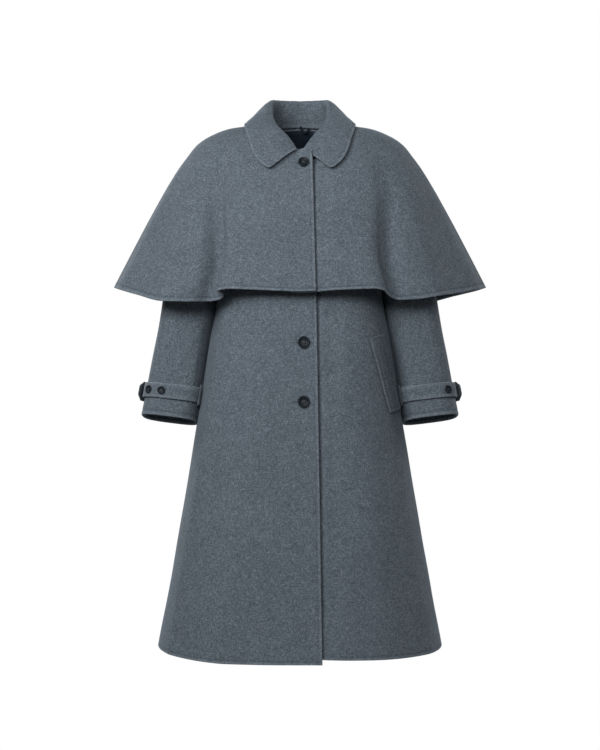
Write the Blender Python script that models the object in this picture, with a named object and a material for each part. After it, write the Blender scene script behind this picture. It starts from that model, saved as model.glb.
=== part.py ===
"""Wool cape coat, worn form, hollow: a coat with a shoulder cape, turn-down collar, sleeves with
buttoned cuff straps and one slanted welt pocket.

Metres, +Z up. The front faces -Y and the wearer's left is +X. The origin is at the base of the neck,
where the wearer's shoulders carry the coat. Every cloth piece is a wall between an outer skin and the
same skin moved inwards.
"""

import math

import bmesh
import bpy
import numpy as np
from mathutils import Matrix, Vector

RIGHT, LEFT = -1, 1  # the wearer's sides, as signs of x

CLOTH = 0.0025  # wool melton
LINING = 0.001
DOUBLE_CLOTH = 0.0038  # collar, straps and welt: two layers pressed together
SEAM_GAP = 0.0003
LAYER_GAP = 0.001  # between a piece and the panel that it lies on

# Coat body below the armholes: height, half width, depth in front of and behind the side seams.
BODY = (
    (-1.030, 0.2810, 0.196, 0.196),
    (-0.900, 0.2575, 0.182, 0.182),
    (-0.740, 0.2300, 0.166, 0.167),
    (-0.568, 0.2000, 0.150, 0.151),
    (-0.428, 0.1790, 0.138, 0.139),
    (-0.340, 0.1650, 0.130, 0.132),
    (-0.200, 0.1520, 0.115, 0.122),
)
BODY_ROUNDING = 2.7  # exponent of the body's rounded-box sections
BODY_LEVELS = (-1.030, -0.960, -0.852, -0.740, -0.628, -0.520, -0.428, -0.340, -0.270, -0.200)
YOKE_ROWS = 6  # rows from the armpit up to the shoulder seam

# Outer edge of the right front over the left one: height, x.
COAT_EDGE = ((-1.030, 0.0400), (-0.330, 0.0300), (-0.050, 0.0240))
# Columns near the centre front: the underlap, then the right front's edge, then the two lines
# between which the left front comes out from under the right one.
UNDERLAP = 0.020
TUCKED_TO = 0.060
UNTUCKED_AT = 0.085
SIDE_TURNS = (0.16, 0.32, 0.48, 0.62, 0.75, 0.88, 1.0)
NECK_LINES = (0.0, 0.018, 0.0235, 0.045, 0.062)  # the same columns at the neck edge
FIRST_UNTUCKED = 4

ARMPIT = (0.152, -0.200)
SHOULDER_TIP = (0.195, -0.035)
ARMHOLE_FRONT = 0.062  # depth of the armhole before and behind the shoulder seam
ARMHOLE_BACK = 0.064
NECK_SIDE = (0.0745, 0.0095)
NECK_FRONT = (-0.078, -0.0520)
NECK_BACK = (0.064, 0.0175)

# Sleeve rings from armhole to cuff: place along the sleeve, inner edge x and z, outer edge x and z,
# half depth, forward shift, and how far the front of the ring is tilted up.
SLEEVE = (
    (0.00, 0.1555, -0.2045, 0.1995, -0.0360, 0.064, 0.000, 0.000),
    (0.12, 0.1600, -0.2200, 0.2205, -0.0680, 0.065, 0.000, 0.000),
    (0.24, 0.1595, -0.2420, 0.2390, -0.1080, 0.065, 0.000, 0.000),
    (0.36, 0.1620, -0.2740, 0.2520, -0.1650, 0.064, 0.000, 0.000),
    (0.50, 0.1665, -0.3180, 0.2630, -0.2400, 0.063, 0.001, 0.000),
    (0.62, 0.1720, -0.3620, 0.2700, -0.3200, 0.062, 0.003, 0.001),
    (0.72, 0.1800, -0.4100, 0.2800, -0.3900, 0.060, 0.008, 0.002),
    (0.82, 0.1895, -0.4650, 0.2925, -0.4550, 0.058, 0.014, 0.004),
    (0.91, 0.2015, -0.5260, 0.3030, -0.5140, 0.057, 0.020, 0.005),
    (1.00, 0.2062, -0.5860, 0.3140, -0.5720, 0.056, 0.026, 0.006),
)
SLEEVE_PLACES = (0.0, 0.10, 0.20, 0.32, 0.45, 0.58, 0.68, 0.78, 0.88, 0.94, 1.0)
SLEEVE_COLUMNS = 22
OUTER_SEAM_COLUMN = 10  # counted from the inner seam round the front; 11 is the outermost line

# Cape along its side seam: place from neck to hem, x, z.
CAPE_SIDE = (
    (0.000, 0.0785, 0.0135),
    (0.075, 0.1100, 0.0070),
    (0.140, 0.1400, 0.0000),
    (0.235, 0.1820, -0.0160),
    (0.300, 0.2060, -0.0320),
    (0.365, 0.2260, -0.0560),
    (0.430, 0.2440, -0.0800),
    (0.510, 0.2640, -0.1120),
    (0.670, 0.3000, -0.1760),
    (0.830, 0.3340, -0.2400),
    (1.000, 0.3700, -0.3140),
)
# Cape down the front and the back centre: place, y, z.
CAPE_FRONT = (
    (0.00, -0.0885, -0.0520),
    (0.20, -0.1120, -0.1000),
    (0.45, -0.1325, -0.1720),
    (0.70, -0.1460, -0.2450),
    (1.00, -0.1620, -0.3320),
)
CAPE_BACK = (
    (0.00, 0.0695, 0.0215),
    (0.20, 0.1080, -0.0450),
    (0.45, 0.1390, -0.1400),
    (0.70, 0.1550, -0.2280),
    (1.00, 0.1680, -0.3350),
)
# Cape hem from the centre to the side seam: place, share of the half width, share of the depth, drop.
HEM_FRONT = (
    (0.00, 0.000, 1.000, 0.000),
    (0.20, 0.210, 0.992, 0.000),
    (0.36, 0.375, 0.955, 0.001),
    (0.44, 0.432, 0.905, 0.007),
    (0.50, 0.460, 0.850, 0.018),
    (0.58, 0.535, 0.825, 0.027),
    (0.72, 0.690, 0.720, 0.026),
    (0.86, 0.858, 0.410, 0.014),
    (1.00, 1.000, 0.000, 0.000),
)
HEM_BACK = (
    (0.00, 0.000, 0.960, 0.000),
    (0.14, 0.130, 1.000, 0.002),
    (0.28, 0.270, 0.930, 0.000),
    (0.42, 0.415, 0.960, 0.006),
    (0.56, 0.545, 0.830, 0.016),
    (0.72, 0.700, 0.700, 0.022),
    (0.86, 0.855, 0.390, 0.012),
    (1.00, 1.000, 0.000, 0.000),
)
CAPE_ROUNDING = 0.8  # under 1 makes the cape's sections fuller than an ellipse
FOLDS_START = 0.30  # the cape's folds fade in from here down to the hem
CAPE_PLACES = (0.0, 0.075, 0.14, 0.22, 0.30, 0.39, 0.50, 0.64, 0.78, 0.90, 1.0)
CAPE_EDGE = ((0.0, 0.0235), (1.0, 0.0305))  # place, x of the right cape front's edge
CAPE_UNDERLAP = 0.018
CAPE_TUCKED_TO = 0.045
CAPE_UNTUCKED_AT = 0.064
CAPE_SHARES = (0.12, 0.24, 0.33, 0.40, 0.49, 0.60, 0.72, 0.86, 1.0)
CAPE_BACK_SHARES = (0.0, 0.09, 0.18, 0.28, 0.38, 0.48, 0.58, 0.70, 0.85, 1.0)

# Collar roll line from the front end to the back centre: place, x, y, z.
ROLL = (
    (0.00, 0.0060, -0.0945, -0.0530),
    (0.18, 0.0258, -0.0795, -0.0240),
    (0.36, 0.0480, -0.0600, 0.0010),
    (0.52, 0.0595, -0.0310, 0.0290),
    (0.68, 0.0615, 0.0010, 0.0550),
    (0.78, 0.0560, 0.0260, 0.0650),
    (0.88, 0.0395, 0.0440, 0.0672),
    (1.00, 0.0000, 0.0560, 0.0680),
)
# Collar's outer edge as a line on the cape: place, cape place, share from the centre front (0) past
# the side seam (1) to the centre back (2).
COLLAR_EDGE = (
    (0.00, 0.245, 0.210),
    (0.09, 0.228, 0.280),
    (0.17, 0.200, 0.355),
    (0.29, 0.150, 0.475),
    (0.37, 0.120, 0.585),
    (0.45, 0.098, 0.720),
    (0.60, 0.082, 1.000),
    (0.78, 0.092, 1.350),
    (1.00, 0.125, 2.000),
)
COLLAR_PLACES = (0.0, 0.06, 0.14, 0.24, 0.35, 0.46, 0.56, 0.65, 0.73, 0.81, 0.90, 1.0)
COLLAR_ROWS = 6
COLLAR_BULGE = 0.006
COLLAR_CLEARANCE = 0.003
STAND_START = 0.20
STAND_SIDE = 0.68  # the shoulder seam's place on the stand
STAND_TOP_DROP = 0.0086
STAND_LIFT = 0.0006

# Slanted pocket welt on the left front, by share of the body's half width and height.
WELT = (
    # along the welt, front edge share, front edge z, side edge share, side edge z
    (0.0, 0.849, -0.564, 0.962, -0.557),
    (1.0, 0.734, -0.420, 0.905, -0.411),
)

STRAP_PLACES = (0.899, 0.922, 0.945)  # the strap's top, middle and bottom along the sleeve
STRAP_FROM, STRAP_TO = 18, 238  # degrees round the sleeve, from the inner seam over the front
TAB_HEIGHTS = (0.893, 0.904, 0.922, 0.940, 0.951)
TAB_FROM, TAB_TO = 232, 172
TAB_STEPS = 9
TAB_STAND_OFF = 0.008
TAB_TIP_SHARE = 0.62  # the tip's height against the tab's
LOOP_AT, LOOP_HALF_WIDTH = 34, 4
LOOP_PLACES = (0.891, 0.906, 0.922, 0.938, 0.953)

BUTTON_RADIUS, BUTTON_HEIGHT = 0.0115, 0.0042
NECK_BUTTON_RADIUS = 0.0103
STRAP_BUTTON_RADIUS, STRAP_BUTTON_HEIGHT = 0.0078, 0.0034
BUTTON_X = 0.007
COAT_BUTTON_HEIGHTS = (-0.428, -0.541)
NECK_BUTTON_Z = -0.0835
# Side of the body, degrees round the sleeve.
STRAP_BUTTONS = ((RIGHT, 140), (RIGHT, 108), (LEFT, 130))

WOOL = (0.105, 0.130, 0.155)
WOOL_DARK = (0.080, 0.100, 0.122)
NAVY = (0.010, 0.014, 0.024)
HORN = (0.018, 0.022, 0.028)


def smooth(value, start, end):
    """0 before start and 1 after end, with a soft step between them."""
    t = min(1.0, max(0.0, (value - start) / (end - start)))
    return t * t * (3 - 2 * t)


def read(table, key):
    """The table's other columns at key, on a curve that doesn't overshoot its rows."""
    rows = np.array(table if table[0][0] < table[-1][0] else table[::-1])
    keys, values = rows[:, 0], rows[:, 1:]
    steps = np.diff(keys)[:, None]
    slopes = np.diff(values, axis=0) / steps
    inner = np.where(slopes[:-1] * slopes[1:] > 0, 2 * slopes[:-1] * slopes[1:], 0)
    inner = inner / np.where(inner == 0, 1, slopes[:-1] + slopes[1:])
    ends = np.vstack([slopes[:1], inner, slopes[-1:]])
    key = min(max(key, keys[0]), keys[-1])
    i = int(min(np.searchsorted(keys, key, side="right") - 1, len(keys) - 2))
    width = keys[i + 1] - keys[i]
    t = (key - keys[i]) / width
    return (
        (2 * t**3 - 3 * t**2 + 1) * values[i]
        + (t**3 - 2 * t**2 + t) * width * ends[i]
        + (3 * t**2 - 2 * t**3) * values[i + 1]
        + (t**3 - t**2) * width * ends[i + 1]
    )


def wool_material(name, color, roughness=0.9, metallic=0.0):
    material = bpy.data.materials.new(name)
    material.use_nodes = True
    shader = material.node_tree.nodes["Principled BSDF"]
    shader.inputs["Base Color"].default_value = (*color, 1)
    shader.inputs["Roughness"].default_value = roughness
    shader.inputs["Metallic"].default_value = metallic
    return material


def normals_of(points, closed):
    """Outward normals of a grid whose columns run round the body and whose rows run up it."""
    if closed:
        across = np.roll(points, -1, axis=1) - np.roll(points, 1, axis=1)
    else:
        across = np.gradient(points, axis=1)
    up = np.gradient(points, axis=0)
    normals = np.cross(across, up)
    return normals / np.linalg.norm(normals, axis=2, keepdims=True)


def mitred(points, normals):
    """On the seams that lie in the plane y = 0 the two walls meet in that plane."""
    normals = normals.copy()
    on_seam = np.abs(points[:, :, 1]) < 1e-6
    flat = normals[on_seam] * (1, 0, 1)
    normals[on_seam] = flat / np.maximum(np.sum(flat * flat, axis=1, keepdims=True), 0.2)
    return normals


def pulled_in(points, rows=(True, True), columns=(True, True)):
    """The grid with its sewn edges half a seam gap shorter."""
    points = points.copy()

    def pull(edge, inside):
        way = inside - edge
        return edge + way / np.linalg.norm(way, axis=1, keepdims=True) * SEAM_GAP / 2

    if columns[0]:
        points[:, 0] = pull(points[:, 0], points[:, 1])
    if columns[1]:
        points[:, -1] = pull(points[:, -1], points[:, -2])
    if rows[0]:
        points[0] = pull(points[0], points[1])
    if rows[1]:
        points[-1] = pull(points[-1], points[-2])
    return points


def wall(name, outer, inner, material):
    """One closed body between two grids of the same size."""
    rows, columns = outer.shape[:2]
    mesh = bmesh.new()
    skins = [
        [[mesh.verts.new(point) for point in row] for row in grid] for grid in (outer, inner)
    ]
    near, far = skins
    for i in range(rows - 1):
        for j in range(columns - 1):
            mesh.faces.new((near[i][j], near[i][j + 1], near[i + 1][j + 1], near[i + 1][j]))
            mesh.faces.new((far[i][j], far[i + 1][j], far[i + 1][j + 1], far[i][j + 1]))
    rim = [(0, j) for j in range(columns)]
    rim += [(i, columns - 1) for i in range(1, rows)]
    rim += [(rows - 1, j) for j in range(columns - 2, -1, -1)]
    rim += [(i, 0) for i in range(rows - 2, 0, -1)]
    for here, there in zip(rim, rim[1:] + rim[:1]):
        a, b = near[here[0]][here[1]], near[there[0]][there[1]]
        c, d = far[there[0]][there[1]], far[here[0]][here[1]]
        mesh.faces.new((b, a, d, c))
    bmesh.ops.recalc_face_normals(mesh, faces=mesh.faces)
    return finished(name, mesh, material)


def finished(name, mesh, material, smooth_faces=True):
    data = bpy.data.meshes.new(name)
    mesh.to_mesh(data)
    mesh.free()
    data.materials.append(material)
    for face in data.polygons:
        face.use_smooth = smooth_faces
    if smooth_faces:
        data.set_sharp_from_angle(angle=math.radians(40))
    piece = bpy.data.objects.new(name, data)
    bpy.context.scene.collection.objects.link(piece)
    return piece


# ---- Coat body ----


def body_point(turn, z, back=False):
    """A point of the body below the armhole: turn is 0 at the centre and 1 at the side seam (+X)."""
    half, front_depth, back_depth = read(BODY, z)
    angle = turn * math.pi / 2
    power = 2 / BODY_ROUNDING
    x = half * abs(math.sin(angle)) ** power
    depth = max(0.0, math.cos(angle)) ** power if turn < 1 else 0.0
    return np.array((x, depth * (back_depth if back else -front_depth), z))


def turn_at(share):
    """The turn at which the body reaches this share of its half width."""
    return math.asin(share ** (BODY_ROUNDING / 2)) * 2 / math.pi


def armhole_point(share, depth):
    """The armhole's edge from the armpit (0) to the shoulder tip (1)."""
    across = (1 - math.cos(share * math.pi)) / 2
    x = ARMPIT[0] + (SHOULDER_TIP[0] - ARMPIT[0]) * across
    z = ARMPIT[1] + (SHOULDER_TIP[1] - ARMPIT[1]) * across
    y = depth * math.sin(share * math.pi) if 0 < share < 1 else 0.0
    return np.array((x, y, z))


def neck_point(share, back=False):
    """The coat's neck edge from the centre (0) to the shoulder seam (1)."""
    angle = share * math.pi / 2
    y, z = NECK_BACK if back else NECK_FRONT
    across = math.sin(angle)
    forward = math.cos(angle) if share < 1 else 0.0
    return np.array((NECK_SIDE[0] * across, y * forward, z + (NECK_SIDE[1] - z) * across**1.5))


def top_edge(lines, columns, back):
    """The panel's top edge: the neck edge at the given x lines, then the shoulder seam."""
    points = [neck_point(math.asin(x / NECK_SIDE[0]) * 2 / math.pi, back) for x in lines]
    seam = np.linspace(0, 1, columns - len(points))
    for t in seam:
        x = NECK_SIDE[0] + (SHOULDER_TIP[0] - NECK_SIDE[0]) * t
        z = NECK_SIDE[1] + (SHOULDER_TIP[1] - NECK_SIDE[1]) * t
        points.append(np.array((x, 0.0, z)))
    return np.array(points)


def yoke(bottom, top, back):
    """Rows from the armpit level up to the top edge: a patch blended from its four edges."""
    depth = ARMHOLE_BACK if back else -ARMHOLE_FRONT
    u = np.linspace(0, 1, len(bottom))[:, None]
    rows = []
    for k in range(1, YOKE_ROWS):
        v = k / YOKE_ROWS
        centre = bottom[0] + (top[0] - bottom[0]) * (v, v**1.15, v)
        ruled = (1 - v) * bottom + v * top
        sides = (1 - u) * centre + u * armhole_point(v, depth)
        rows.append(ruled + sides - (1 - u) * ruled[0] - u * ruled[-1])
    return rows + [top]


def half_front():
    """The front from x = 0 to the side seam, as rows from the hem to the neck and shoulder."""
    rows = []
    for z in BODY_LEVELS:
        lines = (0.0, UNDERLAP, read(COAT_EDGE, z)[0], TUCKED_TO, UNTUCKED_AT)
        turns = [turn_at(x / read(BODY, z)[0]) for x in lines]
        turns += [turns[-1] + (1 - turns[-1]) * share for share in SIDE_TURNS]
        rows.append(np.array([body_point(turn, z) for turn in turns]))
    top = top_edge(NECK_LINES, len(rows[-1]), False)
    return np.array(rows + yoke(rows[-1], top, False))


def half_back():
    turns = (0, 0.12, 0.24, 0.36, 0.48, 0.58, 0.68, 0.78, 0.89, 1.0)
    rows = [np.array([body_point(turn, z, True) for turn in turns]) for z in BODY_LEVELS]
    lines = [NECK_SIDE[0] * math.sin(t * math.pi / 2) for t in (0.0, 0.3, 0.6, 0.85)]
    top = top_edge(lines, len(turns), True)
    return np.array(rows + yoke(rows[-1], top, True))


def over_and_under(half, overlap_columns, underlap_columns):
    """The full right front (over) and left front (under) from one half, with their inner skins."""
    mirror = np.array((-1, 1, 1))
    over = np.concatenate([half[:, ::-1] * mirror, half[:, 1:overlap_columns]], axis=1)
    over_normals = mitred(over, normals_of(over, False))
    under = np.concatenate([half[:, 1:underlap_columns][:, ::-1] * mirror, half], axis=1)
    under_normals = mitred(under, normals_of(under, False))
    tuck = np.zeros(under.shape[1])
    tuck[: underlap_columns - 1 + FIRST_UNTUCKED] = CLOTH + LAYER_GAP
    under = under - under_normals * tuck[None, :, None]
    return (over, over - over_normals * CLOTH), (under, under - under_normals * CLOTH)


def sewn_wall(name, skins, material, rows, columns):
    outer, inner = skins
    return wall(name, pulled_in(outer, rows, columns), pulled_in(inner, rows, columns), material)


def build_fronts(wool):
    over, under = over_and_under(half_front(), 3, 2)
    sewn_wall("front_right", over, wool, (False, True), (True, False))
    sewn_wall("front_left", under, wool, (False, True), (False, True))


def build_back(wool, navy):
    half = half_back()
    outer = np.concatenate([half[:, 1:][:, ::-1] * (-1, 1, 1), half], axis=1)[:, ::-1]
    normals = mitred(outer, normals_of(outer, False))
    inner = outer - normals * CLOTH
    sewn_wall("back", (outer, inner), wool, (False, True), (True, True))

    first = len(BODY_LEVELS) - 2
    shown = (slice(first, None), slice(2, -2))
    lining = inner[shown] - normals[shown] * LAYER_GAP
    skins = (lining, lining - normals[shown] * LINING)
    skins = [shorter(skin, 0.003) for skin in skins]
    wall("back_lining", *skins, navy)


def shorter(points, distance):
    """The grid with its top row this much lower, clear of the seam above."""
    points = points.copy()
    way = points[-2] - points[-1]
    points[-1] = points[-1] + way / np.linalg.norm(way, axis=1, keepdims=True) * distance
    return points


def front_surface(x, z):
    """The coat front's outer surface and its outward direction at x > 0."""
    half = read(BODY, z)[0]
    turn = turn_at(x / half)
    step = 0.01
    here = body_point(turn, z)
    across = body_point(turn + step, z) - body_point(max(0.0, turn - step), z)
    up = body_point(turn, z + step) - body_point(turn, z - step)
    normal = np.cross(across, up)
    return here, normal / np.linalg.norm(normal)


def build_pocket(wool):
    outer, inner = [], []
    for t in np.linspace(0, 1, 8):
        front_share, front_z, side_share, side_z = read(WELT, t)
        row = []
        for s in np.linspace(0, 1, 5):
            share = front_share + (side_share - front_share) * s
            z = front_z + (side_z - front_z) * s
            here, normal = front_surface(share * read(BODY, z)[0], z)
            row.append((here + normal * LAYER_GAP, normal))
        inner.append([point for point, _ in row])
        outer.append([point + normal * DOUBLE_CLOTH for point, normal in row])
    wall("pocket_welt_left", np.array(outer), np.array(inner), wool)


# ---- Sleeves and cuff straps ----


def sleeve_point(place, degrees, side, out=0.0):
    """Round a sleeve ring: 0 degrees is the inner seam, 90 the front and 180 the outer edge."""
    inner_x, inner_z, outer_x, outer_z, depth, forward, tilt = read(SLEEVE, place)
    angle = math.radians(degrees)
    across, front = -math.cos(angle), math.sin(angle)
    half = math.hypot(outer_x - inner_x, outer_z - inner_z) / 2
    stretch = 1 + out / half
    x = (inner_x + outer_x) / 2 + across * (outer_x - inner_x) / 2 * stretch
    z = (inner_z + outer_z) / 2 + across * (outer_z - inner_z) / 2 * stretch
    return np.array((side * x, -forward - front * (depth + out), z + front * tilt))


def sleeve_grid(side, thickness):
    """Closed rings of the sleeve's outer and inner skins, from the cuff up to the armhole."""
    angles = [360 * side * j / SLEEVE_COLUMNS for j in range(SLEEVE_COLUMNS)]
    rings = [
        [sleeve_point(place, angle, side) for angle in angles] for place in SLEEVE_PLACES[::-1]
    ]
    outer = np.array(rings)
    return outer, outer - normals_of(outer, True) * thickness


def build_sleeve(side, wool):
    word = "left" if side == LEFT else "right"
    outer, inner = sleeve_grid(side, CLOTH)
    outer = np.concatenate([outer, outer[:, :1]], axis=1)
    inner = np.concatenate([inner, inner[:, :1]], axis=1)
    seam = OUTER_SEAM_COLUMN if side == LEFT else SLEEVE_COLUMNS - OUTER_SEAM_COLUMN
    halves = ((slice(0, seam + 1), "front"), (slice(seam, None), "back"))
    if side == RIGHT:
        halves = ((halves[0][0], "back"), (halves[1][0], "front"))
    for columns, half in halves:
        skins = (outer[:, columns], inner[:, columns])
        sewn_wall(f"sleeve_{half}_{word}", skins, wool, (False, False), (True, True))


def sleeve_patch(name, side, places, angles, stand_off, thickness, material):
    """A wall that lies on the sleeve, or stands off it by stand_off(step) at each angle."""
    outer, inner = [], []
    for place in places:
        outer.append(
            [sleeve_point(place, a, side, stand_off(k) + thickness) for k, a in enumerate(angles)]
        )
        inner.append([sleeve_point(place, a, side, stand_off(k)) for k, a in enumerate(angles)])
    return wall(name, np.array(outer), np.array(inner), material)


def build_strap(side, wool, dark):
    word = "left" if side == LEFT else "right"
    angles = np.linspace(STRAP_FROM, STRAP_TO, 27)
    on_strap = LAYER_GAP + DOUBLE_CLOTH + LAYER_GAP
    sleeve_patch(
        f"cuff_strap_{word}", side, STRAP_PLACES, angles, lambda k: LAYER_GAP, DOUBLE_CLOTH, wool
    )
    loop = (LOOP_AT - LOOP_HALF_WIDTH, LOOP_AT, LOOP_AT + LOOP_HALF_WIDTH)
    sleeve_patch(f"strap_loop_{word}", side, LOOP_PLACES, loop, lambda k: on_strap, CLOTH, dark)

    outer, inner = [], []
    middle = TAB_HEIGHTS[len(TAB_HEIGHTS) // 2]
    for height in TAB_HEIGHTS:
        outer_row, inner_row = [], []
        for k in range(TAB_STEPS):
            t = k / (TAB_STEPS - 1)
            degrees = TAB_FROM + (TAB_TO - TAB_FROM) * t
            off = on_strap + TAB_STAND_OFF * smooth(t, 0.15, 1.0)
            narrow = 1 - (1 - TAB_TIP_SHARE) * smooth(t, 0.65, 1.0)
            place = middle + (height - middle) * narrow
            outer_row.append(sleeve_point(place, degrees, side, off + CLOTH))
            inner_row.append(sleeve_point(place, degrees, side, off))
        outer.append(outer_row)
        inner.append(inner_row)
    wall(f"cuff_tab_{word}", np.array(outer), np.array(inner), dark)


# ---- Cape ----


def cape_point(share, place, back=False):
    """A point of the cape's outer skin at +X: share runs from the centre (0) to the side seam (1)."""
    side_x, side_z = read(CAPE_SIDE, place)
    centre_y, centre_z = read(CAPE_BACK if back else CAPE_FRONT, place)
    across, depth, drop = read(HEM_BACK if back else HEM_FRONT, share)
    folded = smooth(place, FOLDS_START, 1.0)
    angle = share * math.pi / 2
    across = across * folded + math.sin(angle) * (1 - folded)
    round_depth = math.cos(angle) ** CAPE_ROUNDING if share < 1 else 0.0
    depth = depth * folded + round_depth * (1 - folded)
    rise = math.sin(angle) ** 1.5
    z = centre_z + (side_z - centre_z) * rise - drop * folded
    return np.array((side_x * across, centre_y * depth, z))


def cape_share_at(x, place):
    """The share at which the cape front reaches x."""
    low, high = 0.0, 1.0
    for _ in range(30):
        middle = (low + high) / 2
        if cape_point(middle, place)[0] < x:
            low = middle
        else:
            high = middle
    return (low + high) / 2


def build_cape(wool):
    half = []
    for place in CAPE_PLACES[::-1]:
        lines = (0.0, CAPE_UNDERLAP, read(CAPE_EDGE, place)[0], CAPE_TUCKED_TO, CAPE_UNTUCKED_AT)
        shares = [0.0] + [cape_share_at(x, place) for x in lines[1:]]
        shares += [shares[-1] + (1 - shares[-1]) * t for t in CAPE_SHARES]
        half.append([cape_point(share, place) for share in shares])
    over, under = over_and_under(np.array(half), 3, 2)
    sewn_wall("cape_front_right", over, wool, (False, False), (True, False))
    sewn_wall("cape_front_left", under, wool, (False, False), (False, True))

    half = np.array(
        [[cape_point(share, place, True) for share in CAPE_BACK_SHARES] for place in CAPE_PLACES]
    )[::-1]
    outer = np.concatenate([half[:, 1:][:, ::-1] * (-1, 1, 1), half], axis=1)[:, ::-1]
    inner = outer - mitred(outer, normals_of(outer, False)) * CLOTH
    sewn_wall("cape_back", (outer, inner), wool, (False, False), (True, True))


def cape_surface(share, place):
    """The cape's outer surface and its outward direction; share runs on past the side seam to 2."""
    step = 0.02

    def at(s, p):
        return cape_point(s, p) if s <= 1 else cape_point(2 - s, p, True)

    across = at(min(2.0, share + step), place) - at(max(0.0, share - step), place)
    up = at(share, max(0.0, place - step)) - at(share, place + step)
    normal = np.cross(across, up)
    return at(share, place), normal / np.linalg.norm(normal)


# ---- Collar ----


def collar_half(out):
    """Rows from the outer edge up to the roll line, for the half at +X, front end first."""
    rows = []
    for k in range(COLLAR_ROWS):
        t = k / (COLLAR_ROWS - 1)
        row = []
        for place in COLLAR_PLACES:
            on_cape, normal = cape_surface(*read(COLLAR_EDGE, place)[::-1])
            edge = on_cape + normal * out
            row.append(edge + (read(ROLL, place) - edge) * t)
        rows.append(row)
    return np.array(rows)


def both_halves(half):
    """Both halves of a grid whose columns start at the front and meet at the centre back."""
    return np.concatenate([half, half[:, :-1][:, ::-1] * (-1, 1, 1)], axis=1)


def build_collar(wool):
    flat = both_halves(collar_half(COLLAR_CLEARANCE + DOUBLE_CLOTH))
    normals = normals_of(flat, False)
    bulge = np.sin(np.linspace(0, math.pi, COLLAR_ROWS)) * COLLAR_BULGE
    outer = flat + normals * bulge[:, None, None]
    inner = outer - normals_of(outer, False) * DOUBLE_CLOTH
    wall("collar", outer, inner, wool)


def build_stand(wool):
    places = [STAND_START + (1 - STAND_START) * t for t in np.linspace(0, 1, 12)]
    base, top = [], []
    for place in places:
        if place <= STAND_SIDE:
            point = neck_point(place / STAND_SIDE)
        else:
            point = neck_point((1 - place) / (1 - STAND_SIDE), True)
        base.append(point + (0, 0, STAND_LIFT))
        top.append(read(ROLL, place) - (0, 0, STAND_TOP_DROP))
    base, top = np.array(base), np.array(top)
    half = np.array([base + (top - base) * t for t in np.linspace(0, 1, 4)])
    outer = both_halves(half)
    wall("collar_stand", outer, outer - normals_of(outer, False) * DOUBLE_CLOTH, wool)


# ---- Buttons ----


def build_button(name, radius, height, here, normal, horn):
    """A turned button with a raised rim and four thread holes, standing on a surface."""
    profile = (
        (0.0, 0.0),
        (0.75 * radius, 0.0),
        (radius, 0.35 * height),
        (radius, 0.75 * height),
        (0.88 * radius, height),
        (0.70 * radius, 0.92 * height),
        (0.58 * radius, 0.62 * height),
        (0.0, 0.55 * height),
    )
    mesh = bmesh.new()
    points = [mesh.verts.new((x, 0, z)) for x, z in profile]
    edges = [mesh.edges.new(pair) for pair in zip(points, points[1:])]
    bmesh.ops.spin(
        mesh,
        geom=points + edges,
        axis=(0, 0, 1),
        cent=(0, 0, 0),
        steps=24,
        angle=math.tau,
        use_merge=True,
    )
    bmesh.ops.remove_doubles(mesh, verts=mesh.verts, dist=1e-6)
    bmesh.ops.recalc_face_normals(mesh, faces=mesh.faces)
    button = finished(name, mesh, horn)
    facing = Vector(normal).to_track_quat("Z", "Y").to_matrix().to_4x4()
    button.matrix_world = Matrix.Translation(Vector(here)) @ facing

    holes = bmesh.new()
    for x, y in ((1, 1), (-1, 1), (-1, -1), (1, -1)):
        place = Matrix.Translation((x * radius * 0.2, y * radius * 0.2, height / 2))
        bmesh.ops.create_cone(
            holes,
            cap_ends=True,
            segments=8,
            radius1=radius * 0.095,
            radius2=radius * 0.095,
            depth=height * 2,
            matrix=place,
        )
    cutter = finished(f"{name}_holes", holes, horn, False)
    cutter.matrix_world = button.matrix_world
    cutter.hide_render = True
    cutter.hide_viewport = True
    cut = button.modifiers.new("thread holes", "BOOLEAN")
    cut.operation = "DIFFERENCE"
    cut.object = cutter


def build_buttons(horn):
    for number, z in enumerate(COAT_BUTTON_HEIGHTS, 2):
        here, normal = front_surface(BUTTON_X, z)
        place = here + normal * LAYER_GAP
        build_button(f"button_{number}", BUTTON_RADIUS, BUTTON_HEIGHT, place, normal, horn)

    places = [t / 200 for t in range(201)]
    place = min(places, key=lambda t: abs(read(CAPE_FRONT, t)[1] - NECK_BUTTON_Z))
    here, normal = cape_surface(cape_share_at(BUTTON_X, place), place)
    place = here + normal * LAYER_GAP
    build_button("button_1", NECK_BUTTON_RADIUS, BUTTON_HEIGHT, place, normal, horn)

    counts = {RIGHT: 0, LEFT: 0}
    for side, degrees in STRAP_BUTTONS:
        counts[side] += 1
        word = "left" if side == LEFT else "right"
        middle = STRAP_PLACES[1]
        out = LAYER_GAP + DOUBLE_CLOTH + 2 * LAYER_GAP
        here = sleeve_point(middle, degrees, side, out)
        across = sleeve_point(middle, degrees + 5, side, out) - here
        up = sleeve_point(middle - 0.02, degrees, side, out) - here
        normal = np.cross(across, up) * side
        normal = normal / np.linalg.norm(normal)
        name = f"strap_button_{word}_{counts[side]}"
        build_button(name, STRAP_BUTTON_RADIUS, STRAP_BUTTON_HEIGHT, here, normal, horn)


def build_all():
    wool = wool_material("wool_melton", WOOL)
    dark = wool_material("wool_melton_dark", WOOL_DARK)
    navy = wool_material("lining", NAVY, 0.45)
    horn = wool_material("horn", HORN, 0.35)
    build_fronts(wool)
    build_back(wool, navy)
    build_pocket(wool)
    for side in (RIGHT, LEFT):
        build_sleeve(side, wool)
        build_strap(side, wool, dark)
    build_cape(wool)
    build_collar(wool)
    build_stand(wool)
    build_buttons(horn)


for old in list(bpy.data.objects):
    bpy.data.objects.remove(old)
build_all()
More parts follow.
